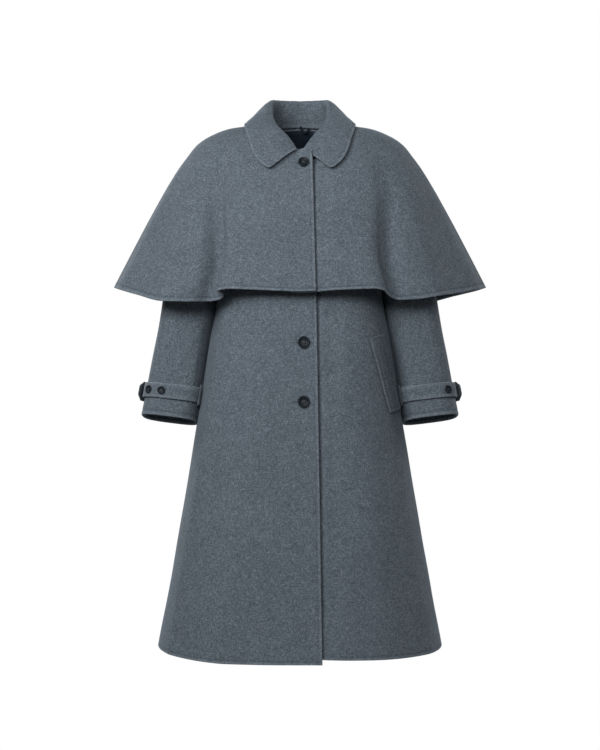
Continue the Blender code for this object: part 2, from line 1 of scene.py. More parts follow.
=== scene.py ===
"""Wool cape coat in its worn form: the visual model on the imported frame.

Metres, +Z up. The front faces -Y and the wearer's left is +X. Each cloth piece is a closed shell made
from one dense grid of its outer skin, with rounded edges, stitch grooves and soft folds.
"""

import math

import bmesh
import bpy
import numpy as np
from mathutils import Matrix, Vector


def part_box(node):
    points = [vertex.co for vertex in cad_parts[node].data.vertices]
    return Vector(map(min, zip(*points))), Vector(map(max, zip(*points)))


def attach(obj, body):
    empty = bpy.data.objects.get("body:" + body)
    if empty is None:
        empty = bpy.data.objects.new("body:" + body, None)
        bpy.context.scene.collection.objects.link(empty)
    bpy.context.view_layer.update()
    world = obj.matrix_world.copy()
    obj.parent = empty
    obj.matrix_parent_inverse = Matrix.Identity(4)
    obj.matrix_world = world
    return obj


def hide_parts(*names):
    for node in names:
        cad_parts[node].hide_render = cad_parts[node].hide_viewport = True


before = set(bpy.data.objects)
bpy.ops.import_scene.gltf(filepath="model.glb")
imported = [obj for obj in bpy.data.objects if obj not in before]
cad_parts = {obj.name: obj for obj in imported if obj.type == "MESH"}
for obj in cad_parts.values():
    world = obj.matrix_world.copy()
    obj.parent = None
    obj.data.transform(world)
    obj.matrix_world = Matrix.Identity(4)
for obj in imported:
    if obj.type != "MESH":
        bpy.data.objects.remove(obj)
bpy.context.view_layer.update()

RIGHT, LEFT = -1, 1  # the wearer's sides, as signs of x
WORDS = {RIGHT: "right", LEFT: "left"}

CLOTH = 0.0028
LINING = 0.0010
DOUBLE_CLOTH = 0.0040
EDGE_CLOTH = 0.0042  # two layers turned in at a front edge or a hem
LAYER_GAP = 0.0010
GROOVE_AT = 0.0060  # how far the stitch line lies from an edge
GROOVE_WIDTH = 0.0010
GROOVE_DEPTH = 0.00070
EDGE_WEAR_AND_HIGHLIGHT_WIDTH = 0.0040  # how far in from an edge the cloth is painted paler: a painted highlight where the rounded edge catches light, partly rubbed wear
TURNED_IN = (0.0065, 0.0090)  # the doubled cloth along an edge thins out between these
CALM_WIDTH = 0.03  # folds fade out over this width beside a seam
LAP_LIFT, LAP_FADE = 0.0012, (0.004, 0.030)  # an over front's edge stands up a little
# How far in from an edge the lining starts: front facing, hem, cape facing, cape hem, cuff.
COAT_FACING, COAT_HEM = 0.085, 0.045
CAPE_FACING, CAPE_HEM = 0.050, 0.010
# The sleeve lining is real, but it comes to 12 mm of the cuff edge, nearer than a wool facing would: its
# navy there is painted shade inside the cuff.
CUFF_SHADE_LINING_FROM = 0.012

HEM_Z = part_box("back")[0][2]
BODY_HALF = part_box("back")[1][0]
CAPE_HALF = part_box("cape_back")[1][0]
COLLAR_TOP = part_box("collar")[1][2]

# Coat body below the armholes: height, half width, depth in front of and behind the side seams.
BODY = (
    (HEM_Z, BODY_HALF, 0.196, 0.196),
    (-0.900, 0.2575, 0.182, 0.182),
    (-0.740, 0.2300, 0.166, 0.167),
    (-0.568, 0.2015, 0.150, 0.151),
    (-0.428, 0.1805, 0.138, 0.139),
    (-0.340, 0.1650, 0.130, 0.132),
    (-0.200, 0.1520, 0.115, 0.122),
)
BODY_ROUNDING = 2.7
BODY_TOP = -0.200
HALF_REFERENCE = 0.220  # folds on the body are placed as if it were this wide all the way down
COAT_EDGE = ((HEM_Z, 0.0420), (-0.330, 0.0310), (-0.050, 0.0240))
UNDERLAP = 0.020
TUCKED_TO = 0.058
UNTUCKED_AT = 0.090
# How far the hem lies above its lowest level: distance from the centre, rise.
HEM_RISE = ((0.150, 0.0), (0.220, 0.0032), (BODY_HALF, 0.0072))
UNDER_HEM_RISE = ((0.040, 0.0090), (0.170, 0.0068), (BODY_HALF, 0.0072))
HEM_RISE_HEIGHT = 0.25
CREVICE = 0.0055  # how much further the under front sinks beside the over front's edge
# Distance from the centre across the chest, then place on the neck (0 to 1) and shoulder (1 to 2).
TOP_TURNS = (
    (0.0000, 0.000),
    (0.0200, 0.155),
    (0.0265, 0.204),
    (0.0600, 0.413),
    (0.0850, 0.626),
    (0.1060, 1.000),
    (0.1520, 2.000),
)
YOKE_ROWS = 14
ARMPIT = (0.152, -0.200)
SHOULDER_TIP = (0.195, -0.035)
ARMHOLE_FRONT = 0.062
ARMHOLE_BACK = 0.064
NECK_SIDE = (0.0745, 0.0095)
NECK_FRONT = (-0.078, -0.0520)
NECK_BACK = (0.064, 0.0175)

# Sleeve rings from armhole to cuff: place along the sleeve, inner edge x and z, outer edge x and z,
# half depth, forward shift, and how far the front of the ring is tilted up.
SLEEVE = (
    (0.00, 0.1555, -0.2045, 0.1995, -0.0360, 0.064, 0.000, 0.000),
    (0.12, 0.1600, -0.2200, 0.2205, -0.0680, 0.065, 0.000, 0.000),
    (0.24, 0.1570, -0.2420, 0.2390, -0.1080, 0.065, 0.000, 0.000),
    (0.36, 0.1577, -0.2740, 0.2520, -0.1650, 0.064, 0.000, 0.000),
    (0.50, 0.1619, -0.3180, 0.2630, -0.2400, 0.063, 0.001, 0.000),
    (0.62, 0.1675, -0.3620, 0.2700, -0.3200, 0.062, 0.003, 0.001),
    (0.72, 0.1770, -0.4100, 0.2800, -0.3900, 0.060, 0.005, 0.002),
    (0.82, 0.1856, -0.4650, 0.2925, -0.4550, 0.058, 0.008, 0.004),
    (0.91, 0.1946, -0.5260, 0.3030, -0.5140, 0.057, 0.013, 0.006),
    (1.00, 0.2036, -0.5860, 0.3140, -0.5720, 0.056, 0.019, 0.009),
)
SLEEVE_ROUNDING = 3.0
SLEEVE_LENGTH = 0.46
OUTER_SEAM = 164  # degrees round the sleeve, from the inner seam over the front

# Cape along its side seam: place from neck to hem, x, z.
CAPE_SIDE = (
    (0.000, 0.0785, 0.0125),
    (0.075, 0.1100, 0.0048),
    (0.140, 0.1400, 0.0000),
    (0.235, 0.1820, -0.0160),
    (0.300, 0.2060, -0.0320),
    (0.365, 0.2260, -0.0560),
    (0.430, 0.2440, -0.0800),
    (0.510, 0.2640, -0.1120),
    (0.670, 0.3000, -0.1760),
    (0.830, 0.3340, -0.2400),
    (1.000, CAPE_HALF + 0.003, -0.3150),
)
CAPE_LENGTH = 0.335
# Cape down the front and the back centre: place, y, z.
CAPE_FRONT = (
    (0.00, -0.0885, -0.0520),
    (0.20, -0.1120, -0.1000),
    (0.45, -0.1325, -0.1720),
    (0.70, -0.1460, -0.2450),
    (1.00, -0.1620, -0.3320),
)
CAPE_BACK = (
    (0.00, 0.0695, 0.0215),
    (0.20, 0.1080, -0.0450),
    (0.45, 0.1390, -0.1400),
    (0.70, 0.1550, -0.2280),
    (1.00, 0.1680, -0.3350),
)
# Cape hem from the centre to the side seam: place, share of the half width, share of the depth, drop.
HEM_RIGHT = (
    (0.00, 0.000, 1.000, 0.000),
    (0.20, 0.210, 0.992, 0.000),
    (0.33, 0.342, 0.972, 0.001),
    (0.41, 0.406, 0.925, 0.004),
    (0.45, 0.428, 0.875, 0.009),
    (0.50, 0.404, 0.795, 0.020),
    (0.56, 0.465, 0.722, 0.028),
    (0.64, 0.570, 0.828, 0.031),
    (0.72, 0.695, 0.755, 0.031),
    (0.86, 0.862, 0.430, 0.0165),
    (0.94, 0.955, 0.245, 0.0062),
    (1.00, 1.000, 0.000, 0.000),
)
HEM_LEFT = (
    (0.00, 0.000, 1.000, 0.000),
    (0.20, 0.210, 0.992, 0.000),
    (0.36, 0.375, 0.960, 0.001),
    (0.44, 0.432, 0.905, 0.006),
    (0.50, 0.466, 0.800, 0.018),
    (0.57, 0.518, 0.722, 0.026),
    (0.65, 0.600, 0.750, 0.026),
    (0.72, 0.690, 0.715, 0.022),
    (0.86, 0.858, 0.420, 0.0125),
    (0.94, 0.953, 0.240, 0.0046),
    (1.00, 1.000, 0.000, 0.000),
)
HEM_BACK = (
    (0.00, 0.000, 0.960, 0.000),
    (0.14, 0.130, 1.000, 0.002),
    (0.28, 0.270, 0.930, 0.000),
    (0.42, 0.415, 0.960, 0.006),
    (0.56, 0.545, 0.830, 0.016),
    (0.72, 0.700, 0.700, 0.022),
    (0.86, 0.855, 0.410, 0.012),
    (0.94, 0.953, 0.235, 0.0045),
    (1.00, 1.000, 0.000, 0.000),
)
CAPE_ROUNDING = 0.8
FOLDS_GROW = (0.14, 0.90)
CAPE_EDGE = ((0.0, 0.0235), (1.0, 0.0305))
CAPE_UNDERLAP = 0.018
CAPE_TUCKED_TO = 0.044
CAPE_UNTUCKED_AT = 0.066
PLACKET_CORNER = 0.006
PLACKET_RAISE = 0.0040  # how far its top stands up for the collar and the under front
PLACKET_DIP = 0.009  # keeps the placket's top level where the cape's neck edge climbs

# Collar roll line from the front end to the back centre: place, x, y, z.
ROLL = (
    (0.00, 0.0060, -0.0945, -0.0530),
    (0.18, 0.0258, -0.0795, -0.0240),
    (0.36, 0.0480, -0.0600, 0.0010),
    (0.52, 0.0595, -0.0310, 0.0290),
    (0.68, 0.0615, 0.0010, 0.0550),
    (0.78, 0.0560, 0.0260, 0.0650),
    (0.88, 0.0395, 0.0440, 0.0672),
    (1.00, 0.0000, 0.0560, COLLAR_TOP),
)
# Collar's outer edge on the cape: place, cape place, share from the centre front to the centre back.
COLLAR_EDGE = (
    (0.00, 0.252, 0.207),
    (0.09, 0.236, 0.280),
    (0.17, 0.204, 0.355),
    (0.29, 0.150, 0.475),
    (0.37, 0.119, 0.585),
    (0.45, 0.095, 0.720),
    (0.60, 0.072, 1.000),
    (0.78, 0.096, 1.350),
    (0.90, 0.118, 1.700),
    (1.00, 0.122, 2.000),
)
COLLAR_BULGE = 0.0035
COLLAR_CLEARANCE = 0.0010
COLLAR_POINT_LIFT = 0.0035  # how much further the collar points stand off the cape
COLLAR_TUCK = 0.011  # how far its left end goes back behind the right cape front
COLLAR_CORNER = 0.0065  # radius of the collar points
COLLAR_HALF_LENGTH = 0.21
STAND_SIDE = 0.68
# Places of the stand as distances towards the coat's middle and up: from the roll line, but
# STAND_BASE from the neck edge. The short ones are at the front ends, where the stand runs out.
STAND_TOP, STAND_BASE = (0.0058, -0.0086), (0.0019, 0.0006)
SHORT_TOP, SHORT_BASE = (0.0055, -0.006), (0.0058, -0.012)
COLLAR_CREST = (0.0022, -0.0020)
NECK_BAND = (0.0056, 0.0006)  # from the neck edge

# Slanted pocket welt: place along it, front edge share and z, side edge share and z.
WELT = (
    (0.0, 0.849, -0.564, 0.962, -0.557),
    (1.0, 0.734, -0.420, 0.905, -0.411),
)

WELT_LENGTH, WELT_WIDTH = 0.155, 0.027

SLEEVE_RADIUS, CUFF_RADIUS = 0.06, 0.056
STRAP_PLACES = (0.899, 0.945)
STRAP_FROM, STRAP_TO = 18, 238
TAB_HEIGHTS = (0.893, 0.951)
TAB_FROM, TAB_TO = 232, 172
TAB_STAND_OFF = 0.006
TAB_TIP_SHARE = 0.42
LOOP_AT, LOOP_HALF_WIDTH = 34, 4
LOOP_PLACES = (0.891, 0.953)
STRAP_BUTTONS = (
    (RIGHT, 131, "strap_button_right_1"),
    (RIGHT, 101, "strap_button_right_2"),
    (LEFT, 121, "strap_button_left_1"),
)

# Soft folds: start and end in the piece's own two directions, width, height (hollows are negative).
BODY_FOLDS_RIGHT = (
    (0.196, -0.400, 0.196, -1.060, 0.0070, 0.0024),
    (0.168, -0.520, 0.172, -1.060, 0.0160, -0.0014),
    (0.110, -0.460, 0.128, -1.080, 0.0300, 0.0016),
    (0.060, -0.620, 0.078, -1.080, 0.0240, -0.0012),
    (0.130, -0.330, 0.150, -0.480, 0.0140, -0.0012),
)
BODY_FOLDS_LEFT = (
    (0.194, -0.560, 0.196, -1.060, 0.0080, 0.0018),
    (0.164, -0.600, 0.170, -1.060, 0.0160, -0.0014),
    (0.120, -0.600, 0.132, -1.080, 0.0280, 0.0016),
    (0.078, -0.560, 0.086, -1.080, 0.0240, -0.0012),
)
BODY_FOLDS_BACK = (
    (0.000, -0.300, 0.000, -1.080, 0.0260, -0.0050),
    (0.060, -0.400, 0.075, -1.080, 0.0240, 0.0062),
    (-0.064, -0.380, -0.080, -1.080, 0.0250, 0.0056),
    (0.135, -0.480, 0.145, -1.080, 0.0220, -0.0058),
    (-0.130, -0.520, -0.142, -1.080, 0.0230, -0.0062),
    (0.194, -0.500, 0.196, -1.060, 0.0080, 0.0018),
    (-0.194, -0.500, -0.196, -1.060, 0.0080, 0.0018),
)
# Degrees round the sleeve (over 100) and place along it.
SLEEVE_FOLDS = (
    (0.62, 0.34, 0.56, 1.00, 0.080, 0.0012),
    (0.30, 0.56, 0.95, 0.66, 0.050, -0.0012),
    (0.20, 0.62, 0.80, 0.75, 0.050, 0.0010),
    (2.60, 0.40, 2.50, 1.05, 0.120, -0.0020),
    (3.10, 0.50, 2.20, 0.60, 0.060, -0.0018),
    (3.20, 0.60, 2.30, 0.68, 0.060, 0.0016),
)

NEAR_EDGE = (0, 0.0002, 0.0007, 0.0014, 0.0024, 0.0042, 0.0051, 0.0056, 0.0060, 0.0064, 0.0069, 0.0090)
NEAR_SEAM = (0, 0.0003, 0.0009, 0.0020, 0.0045)
STEP = 0.0065  # grid step on the open cloth

WOOL_DARK = (0.030, 0.040, 0.050, 1)
WOOL_MID = (0.080, 0.099, 0.119, 1)
WOOL_LIGHT = (0.178, 0.210, 0.240, 1)
SHEEN_TINT = (0.62, 0.74, 0.86, 1)
THREAD = (0.10, 0.125, 0.15, 1)
NAVY_DARK = (0.003, 0.006, 0.012, 1)
NAVY_LIGHT = (0.008, 0.014, 0.026, 1)
HORN_DARK = (0.003, 0.005, 0.008, 1)
HORN_LIGHT = (0.012, 0.018, 0.025, 1)


# ---- Numbers ----


def ramp(value, start, end):
    """0 before start and 1 after end, with a soft step between them."""
    t = np.clip((value - start) / (end - start), 0, 1)
    return t * t * (3 - 2 * t)


def read(table, keys):
    """The table's other columns at the keys, on curves that don't overshoot its rows."""
    rows = np.array(sorted(table), float)
    at, values = rows[:, 0], rows[:, 1:]
    slopes = np.diff(values, axis=0) / np.diff(at)[:, None]
    product = slopes[:-1] * slopes[1:]
    total = slopes[:-1] + slopes[1:]
    inner = np.where(product > 0, 2 * product / np.where(total == 0, 1, total), 0)
    ends = np.vstack([slopes[:1], inner, slopes[-1:]])
    keys = np.clip(np.asarray(keys, float), at[0], at[-1])
    i = np.clip(np.searchsorted(at, keys, side="right") - 1, 0, len(at) - 2)
    width = (at[i + 1] - at[i])[..., None]
    t = (keys - at[i])[..., None] / width
    return (
        (2 * t**3 - 3 * t**2 + 1) * values[i]
        + (t**3 - 2 * t**2 + t) * width * ends[i]
        + (3 * t**2 - 2 * t**3) * values[i + 1]
        + (t**3 - t**2) * width * ends[i + 1]
    )


def lengths(line):
    """Distance along a line of points, from its first point."""
    steps = np.linalg.norm(np.diff(line, axis=0), axis=1)
    return np.concatenate([[0], np.cumsum(steps)])


def resample(line, distances, values=None):
    """The line, or other values given at its points, at the distances along it."""
    values = line if values is None else values
    along = lengths(line)
    return np.stack([np.interp(distances, along, values[:, k]) for k in range(3)], axis=1)


def spread(total, start, end, count):
    """Distances along a row: fixed ones near both ends and an even run of count between them."""
    middle = np.linspace(start[-1], total - end[-1], count + 2)[1:-1]
    return np.concatenate([start, middle, total - np.array(end)[::-1]])


def steps_for(total, start, end, step=STEP):
    return max(2, int((total - start[-1] - end[-1]) / step))


def normals_of(points, seam=False):
    """Outward normals of a grid whose columns run round the body and whose rows run up it."""
    across = np.gradient(points, axis=1)
    up = np.gradient(points, axis=0)
    normals = np.cross(across, up)
    normals /= np.maximum(np.linalg.norm(normals, axis=2, keepdims=True), 1e-12)
    if seam:
        on_seam = np.abs(points[:, :, 1]) < 1e-6
        flat = normals[on_seam] * (1, 0, 1)
        normals[on_seam] = flat / np.maximum(np.linalg.norm(flat, axis=1, keepdims=True), 0.4)
    return normals


def folds(across, along, table):
    """Height of soft folds, each along a line from one place to another and fading at its ends."""
    total = np.zeros_like(across)
    for x0, z0, x1, z1, width, height in table:
        run_x, run_z = x1 - x0, z1 - z0
        length = math.hypot(run_x, run_z)
        t = ((across - x0) * run_x + (along - z0) * run_z) / length**2
        off = ((across - x0) * run_z - (along - z0) * run_x) / length
        fade = ramp(t, -0.12, 0.30) * (1 - ramp(t, 0.92, 1.25))
        total += height * fade * np.exp(-((off / width) ** 2))
    return total


def drift(points, scale, seed):
    """Slow uneven waves between about -1 and 1, the same on every run."""
    random = np.random.default_rng(seed)
    total = np.zeros(points.shape[:-1])
    for _ in range(7):
        way = random.normal(size=3)
        way /= np.linalg.norm(way)
        pitch = scale * random.uniform(0.7, 1.6)
        total += np.sin(points @ way / pitch * math.tau + random.uniform(0, math.tau))
    return total / 3.5


# ---- Materials ----


class Nodes:
    """A material's node tree, with short ways to add nodes and join them."""

    def __init__(self, name):
        self.material = bpy.data.materials.new(name)
        self.material.use_nodes = True
        self.tree = self.material.node_tree
        self.shader = self.tree.nodes["Principled BSDF"]
        self.place = self.add("ShaderNodeTexCoord").outputs["Object"]

    def add(self, kind, **settings):
        node = self.tree.nodes.new(kind)
        for name, value in settings.items():
            setattr(node, name, value)
        return node

    def join(self, source, target):
        self.tree.links.new(source, target)

    def stretched(self, scale, turn=(0, 0, 0)):
        mapping = self.add("ShaderNodeMapping")
        mapping.inputs["Scale"].default_value = scale
        mapping.inputs["Rotation"].default_value = turn
        self.join(self.place, mapping.inputs["Vector"])
        return mapping.outputs["Vector"]

    def noise(self, scale, detail=2.0, rough=0.5, vector=None):
        node = self.add("ShaderNodeTexNoise")
        node.inputs["Scale"].default_value = scale
        node.inputs["Detail"].default_value = detail
        node.inputs["Roughness"].default_value = rough
        self.join(vector or self.place, node.inputs["Vector"])
        return node.outputs["Fac"]

    def math(self, operation, a, b):
        node = self.add("ShaderNodeMath", operation=operation)
        for socket, value in zip(node.inputs, (a, b)):
            if isinstance(value, (int, float)):
                socket.default_value = value
            else:
                self.join(value, socket)
        return node.outputs[0]

    def weighted(self, parts):
        """Sum of (value - 0.5) * weight over the parts, plus 0.5."""
        total = 0.5
        for value, weight in parts:
            centred = self.math("SUBTRACT", value, 0.5)
            total = self.math("ADD", self.math("MULTIPLY", centred, weight), total)
        return total

    def ramp(self, value, stops):
        node = self.add("ShaderNodeValToRGB")
        elements = node.color_ramp.elements
        while len(elements) < len(stops):
            elements.new(0.5)
        for element, (position, color) in zip(elements, stops):
            element.position = position
            element.color = color
        self.join(value, node.inputs["Fac"])
        return node.outputs["Color"]

    def scaled(self, value, low, high):
        node = self.add("ShaderNodeMapRange")
        node.inputs["To Min"].default_value = low
        node.inputs["To Max"].default_value = high
        self.join(value, node.inputs["Value"])
        return node.outputs["Result"]

    def bump(self, value, distance, strength, under=None):
        node = self.add("ShaderNodeBump")
        node.inputs["Distance"].default_value = distance
        node.inputs["Strength"].default_value = strength
        self.join(value, node.inputs["Height"])
        if under is not None:
            self.join(under, node.inputs["Normal"])
        return node.outputs["Normal"]

    def finish(self, color, roughness, normal, **fixed):
        self.join(color, self.shader.inputs["Base Color"])
        self.join(roughness, self.shader.inputs["Roughness"])
        self.join(normal, self.shader.inputs["Normal"])
        for name, value in fixed.items():
            self.shader.inputs[name.replace("_", " ")].default_value = value
        return self.material


def tinted(color, share):
    return (*[channel * share for channel in color[:3]], 1)


def wool_material(name, share=1.0, paler=0.20):
    """Fulled melton: pale and dark fibres in short flecks with a faint cross weave under the nap."""
    m = Nodes(name)
    fleck = m.noise(520, 3.0, 0.62)
    upright = m.noise(1, 1.5, 0.5, m.stretched((620, 620, 150)))
    level = m.noise(1, 1.5, 0.5, m.stretched((170, 170, 620)))
    patch = m.noise(60, 2.0, 0.5)
    mottle = m.noise(11, 2.0, 0.5)
    tone = m.weighted(
        ((fleck, 1.15), (upright, 0.60), (level, 0.70), (patch, 0.16), (mottle, 0.10))
    )
    # Tone from the mesh: edges lighter (painted highlight, partly rubbed wear), stitch grooves darker
    # (painted shade).
    wear_and_light = m.add("ShaderNodeAttribute", attribute_name="wear_and_painted_light").outputs["Fac"]
    tone = m.math("ADD", tone, m.math("MULTIPLY", wear_and_light, paler))
    stops = (
        (0.08, tinted(WOOL_DARK, share)),
        (0.50, tinted(WOOL_MID, share)),
        (0.94, tinted(WOOL_LIGHT, share)),
    )
    color = m.ramp(tone, stops)
    fibre = m.noise(1500, 3.0, 0.7)
    weave = m.bump(tone, 0.0006, 0.30)
    normal = m.bump(fibre, 0.0004, 0.35, weave)
    roughness = m.scaled(fibre, 0.84, 1.0)
    return m.finish(
        color,
        roughness,
        normal,
        Sheen_Weight=0.16,
        Sheen_Roughness=0.40,
        Sheen_Tint=SHEEN_TINT,
        Specular_IOR_Level=0.22,
    )


def lining_material():
    """Navy twill: fine slanting ribs with a low gloss."""
    m = Nodes("navy_lining")
    ribs = m.add("ShaderNodeTexWave", wave_type="BANDS", bands_direction="DIAGONAL")
    ribs.inputs["Scale"].default_value = 260
    ribs.inputs["Distortion"].default_value = 0.6
    m.join(m.place, ribs.inputs["Vector"])
    cloud = m.noise(40, 3.0, 0.55)
    tone = m.weighted(((ribs.outputs["Fac"], 0.5), (cloud, 0.8)))
    color = m.ramp(tone, ((0.15, NAVY_DARK), (0.85, NAVY_LIGHT)))
    normal = m.bump(ribs.outputs["Fac"], 0.0003, 0.35)
    roughness = m.scaled(cloud, 0.60, 0.75)
    return m.finish(color, roughness, normal, Sheen_Weight=0.02, Specular_IOR_Level=0.10)


def horn_material():
    """Dark horn: cloudy veins, polished with fine wear."""
    m = Nodes("dark_horn")
    veins = m.noise(1, 4.0, 0.6, m.stretched((300, 90, 160), (0.3, 0.6, 0.2)))
    specks = m.noise(900, 2.0, 0.5)
    tone = m.weighted(((veins, 1.5), (specks, 0.35)))
    color = m.ramp(tone, ((0.20, HORN_DARK), (0.85, HORN_LIGHT)))
    scratches = m.noise(1, 2.0, 0.5, m.stretched((2400, 300, 900), (0.2, 0.9, 0.5)))
    normal = m.bump(scratches, 0.00015, 0.20)
    roughness = m.scaled(specks, 0.40, 0.55)
    return m.finish(color, roughness, normal, Specular_IOR_Level=0.16)


def thread_material(name, share=1.0):
    """Twisted sewing thread."""
    m = Nodes(name)
    twist = m.noise(1600, 2.0, 0.5)
    color = m.ramp(twist, ((0.2, tinted(THREAD, 0.65 * share)), (0.8, tinted(THREAD, 1.35 * share))))
    normal = m.bump(twist, 0.0002, 0.5)
    return m.finish(color, m.scaled(twist, 0.6, 0.8), normal, Sheen_Weight=0.1)


def floor_material():
    m = Nodes("studio_floor")
    cloud = m.noise(3, 2.0, 0.5)
    color = m.ramp(cloud, ((0.0, (0.78, 0.78, 0.78, 1)), (1.0, (0.83, 0.83, 0.83, 1))))
    normal = m.bump(m.noise(90, 2.0, 0.5), 0.0005, 0.05)
    return m.finish(
        color,
        m.scaled(cloud, 0.75, 0.85),
        normal,
        Specular_IOR_Level=0.1,
        Emission_Color=(1, 1, 1, 1),
        Emission_Strength=0.20,
    )


wool = wool_material("wool_melton")
# A darker copy of the same wool (0.80 of its tone, edges barely paler): painted shade for the welt, cuff
# tabs, belt loops and buttonhole lips.
wool_painted_shade = wool_material("wool_melton_painted_shade", 0.80, 0.06)
navy = lining_material()
horn = horn_material()
thread = thread_material("wool_thread")
dark_thread = thread_material("dark_thread", 0.35)


# ---- Pieces ----


def placed(piece, slot, *nodes):
    """The piece rides on the coat's one body and stands for its CAD nodes."""
    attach(piece, "root")
    if nodes:
        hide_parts(*nodes)
    return piece


def mesh_piece(name, points, faces, materials, indices=None):
    data = bpy.data.meshes.new(name)
    data.from_pydata([tuple(point) for point in points], [], [tuple(face) for face in faces])
    for material in materials:
        data.materials.append(material)
    if indices is not None:
        data.polygons.foreach_set("material_index", np.asarray(indices, np.int32))
    data.polygons.foreach_set("use_smooth", np.ones(len(data.polygons), bool))
    data.update()
    piece = bpy.data.objects.new(name, data)
    bpy.context.scene.collection.objects.link(piece)
    return piece


def rounded(distance, thickness):
    """How far each skin draws in near a free edge, so that the edge is half round."""
    radius = thickness / 2
    t = np.clip(distance / radius, 0, 1)
    return radius * (1 - np.sqrt(1 - (1 - t) ** 2)) * 0.96


def groove(distance, at=GROOVE_AT):
    """The dent of a stitch line that runs along an edge."""
    return GROOVE_DEPTH * np.exp(-(((distance - at) / GROOVE_WIDTH) ** 2))


class Panel:
    """A cloth grid: outer skin, normals, thickness, how far the skins draw in, and a per-point tone:
    paler edges (painted highlight, partly rubbed wear) and darker stitch grooves (painted shade).
    """

    def __init__(self, points, thickness, seam=False):
        self.points = points
        self.normals = normals_of(points, seam)
        self.thickness = np.full(points.shape[:2], float(thickness))
        self.inset = np.zeros(points.shape[:2])
        self.wear_and_painted_light = np.zeros(points.shape[:2])

    def lift(self, amount):
        self.points = self.points + self.normals * amount[..., None]

    def mirror(self):
        """Moves the panel to the body's other side; its columns still run the same way round."""
        for name in ("points", "normals"):
            setattr(self, name, getattr(self, name)[:, ::-1] * (-1, 1, 1))
        for name in ("thickness", "inset", "wear_and_painted_light"):
            setattr(self, name, getattr(self, name)[:, ::-1])

    def turn_in(self, distances):
        """The cloth is doubled along a hem or front edge."""
        self.thickness += (EDGE_CLOTH - CLOTH) * (1 - ramp(distances, *TURNED_IN))

    def edge(self, distances, stitched=True):
        """A free edge, at the given distance from each grid point."""
        distances = np.broadcast_to(distances, self.inset.shape)
        self.inset = np.maximum(self.inset, rounded(distances, self.thickness))
        # Paler near the edge: a painted highlight where the rounded edge catches light, partly rubbed
        # wear.
        self.wear_and_painted_light = np.maximum(self.wear_and_painted_light, np.exp(-((distances / EDGE_WEAR_AND_HIGHLIGHT_WIDTH) ** 2)))
        if stitched:
            self.stitch(distances)

    def stitch(self, distances):
        """The dent of a stitch line, with painted shade in it."""
        dent = groove(np.broadcast_to(distances, self.inset.shape))
        self.inset = self.inset + dent
        # Painted shade: the cloth colour is darkened along the groove.
        self.wear_and_painted_light = self.wear_and_painted_light - 0.8 * dent / GROOVE_DEPTH

    def seam(self, distances):
        """A sewn seam: both skins dip a little towards it."""
        distances = np.broadcast_to(distances, self.inset.shape)
        self.inset = np.maximum(self.inset, 0.0007 * np.exp(-distances / 0.0012))

    def skins(self):
        outer = self.points - self.normals * self.inset[..., None]
        depth = self.thickness - self.inset
        inner = self.points - self.normals * depth[..., None]
        return outer, inner

    def shell(self, name, material, inside=None, mask=None):
        """The closed piece. mask says which inner faces take the inside material."""
        outer, inner = self.skins()
        rows, columns = outer.shape[:2]
        index = np.arange(rows * columns).reshape(rows, columns)
        a, b, c, d = index[:-1, :-1], index[:-1, 1:], index[1:, 1:], index[1:, :-1]
        near = np.stack([a, b, c, d], axis=-1).reshape(-1, 4)
        far = np.stack([a, d, c, b], axis=-1).reshape(-1, 4) + rows * columns
        ring = np.concatenate(
            [index[0, :-1], index[:-1, -1], index[-1, :0:-1], index[:0:-1, 0]]
        )
        onward = np.roll(ring, -1)
        rim = np.stack([onward, ring, ring + rows * columns, onward + rows * columns], axis=-1)
        points = np.concatenate([outer.reshape(-1, 3), inner.reshape(-1, 3)])
        faces = np.concatenate([near, far, rim])
        materials = [material]
        kinds = np.zeros(len(faces), np.int32)
        if inside is not None:
            materials.append(inside)
            chosen = np.ones((rows - 1, columns - 1), bool) if mask is None else mask[:-1, :-1]
            kinds[len(near) : len(near) + len(far)] = chosen.reshape(-1)
        piece = mesh_piece(name, points, faces.tolist(), materials, kinds)
        # The per-point tone the wool reads: painted highlight on edges, partly rubbed wear, and painted
        # shade in stitch grooves.
        wear_and_painted_light = piece.data.attributes.new("wear_and_painted_light", "FLOAT", "POINT")
        wear_and_painted_light.data.foreach_set("value", np.tile(self.wear_and_painted_light.reshape(-1), 2).astype(np.float32))
        return piece


STITCH_LENGTH, STITCH_PITCH, STITCH_WIDTH = 0.0030, 0.0046, 0.00042
THREAD_SIDES = 6


def tube_faces(start, stations, sides):
    """Faces of a closed tube whose rings of points follow each other from index start."""
    faces = []
    for k in range(stations - 1):
        for j in range(sides):
            a = start + k * sides + j
            b = start + k * sides + (j + 1) % sides
            faces.append((a, b, b + sides, a + sides))
    faces.append([start + j for j in range(sides - 1, -1, -1)])
    last = start + (stations - 1) * sides
    faces.append([last + j for j in range(sides)])
    return faces


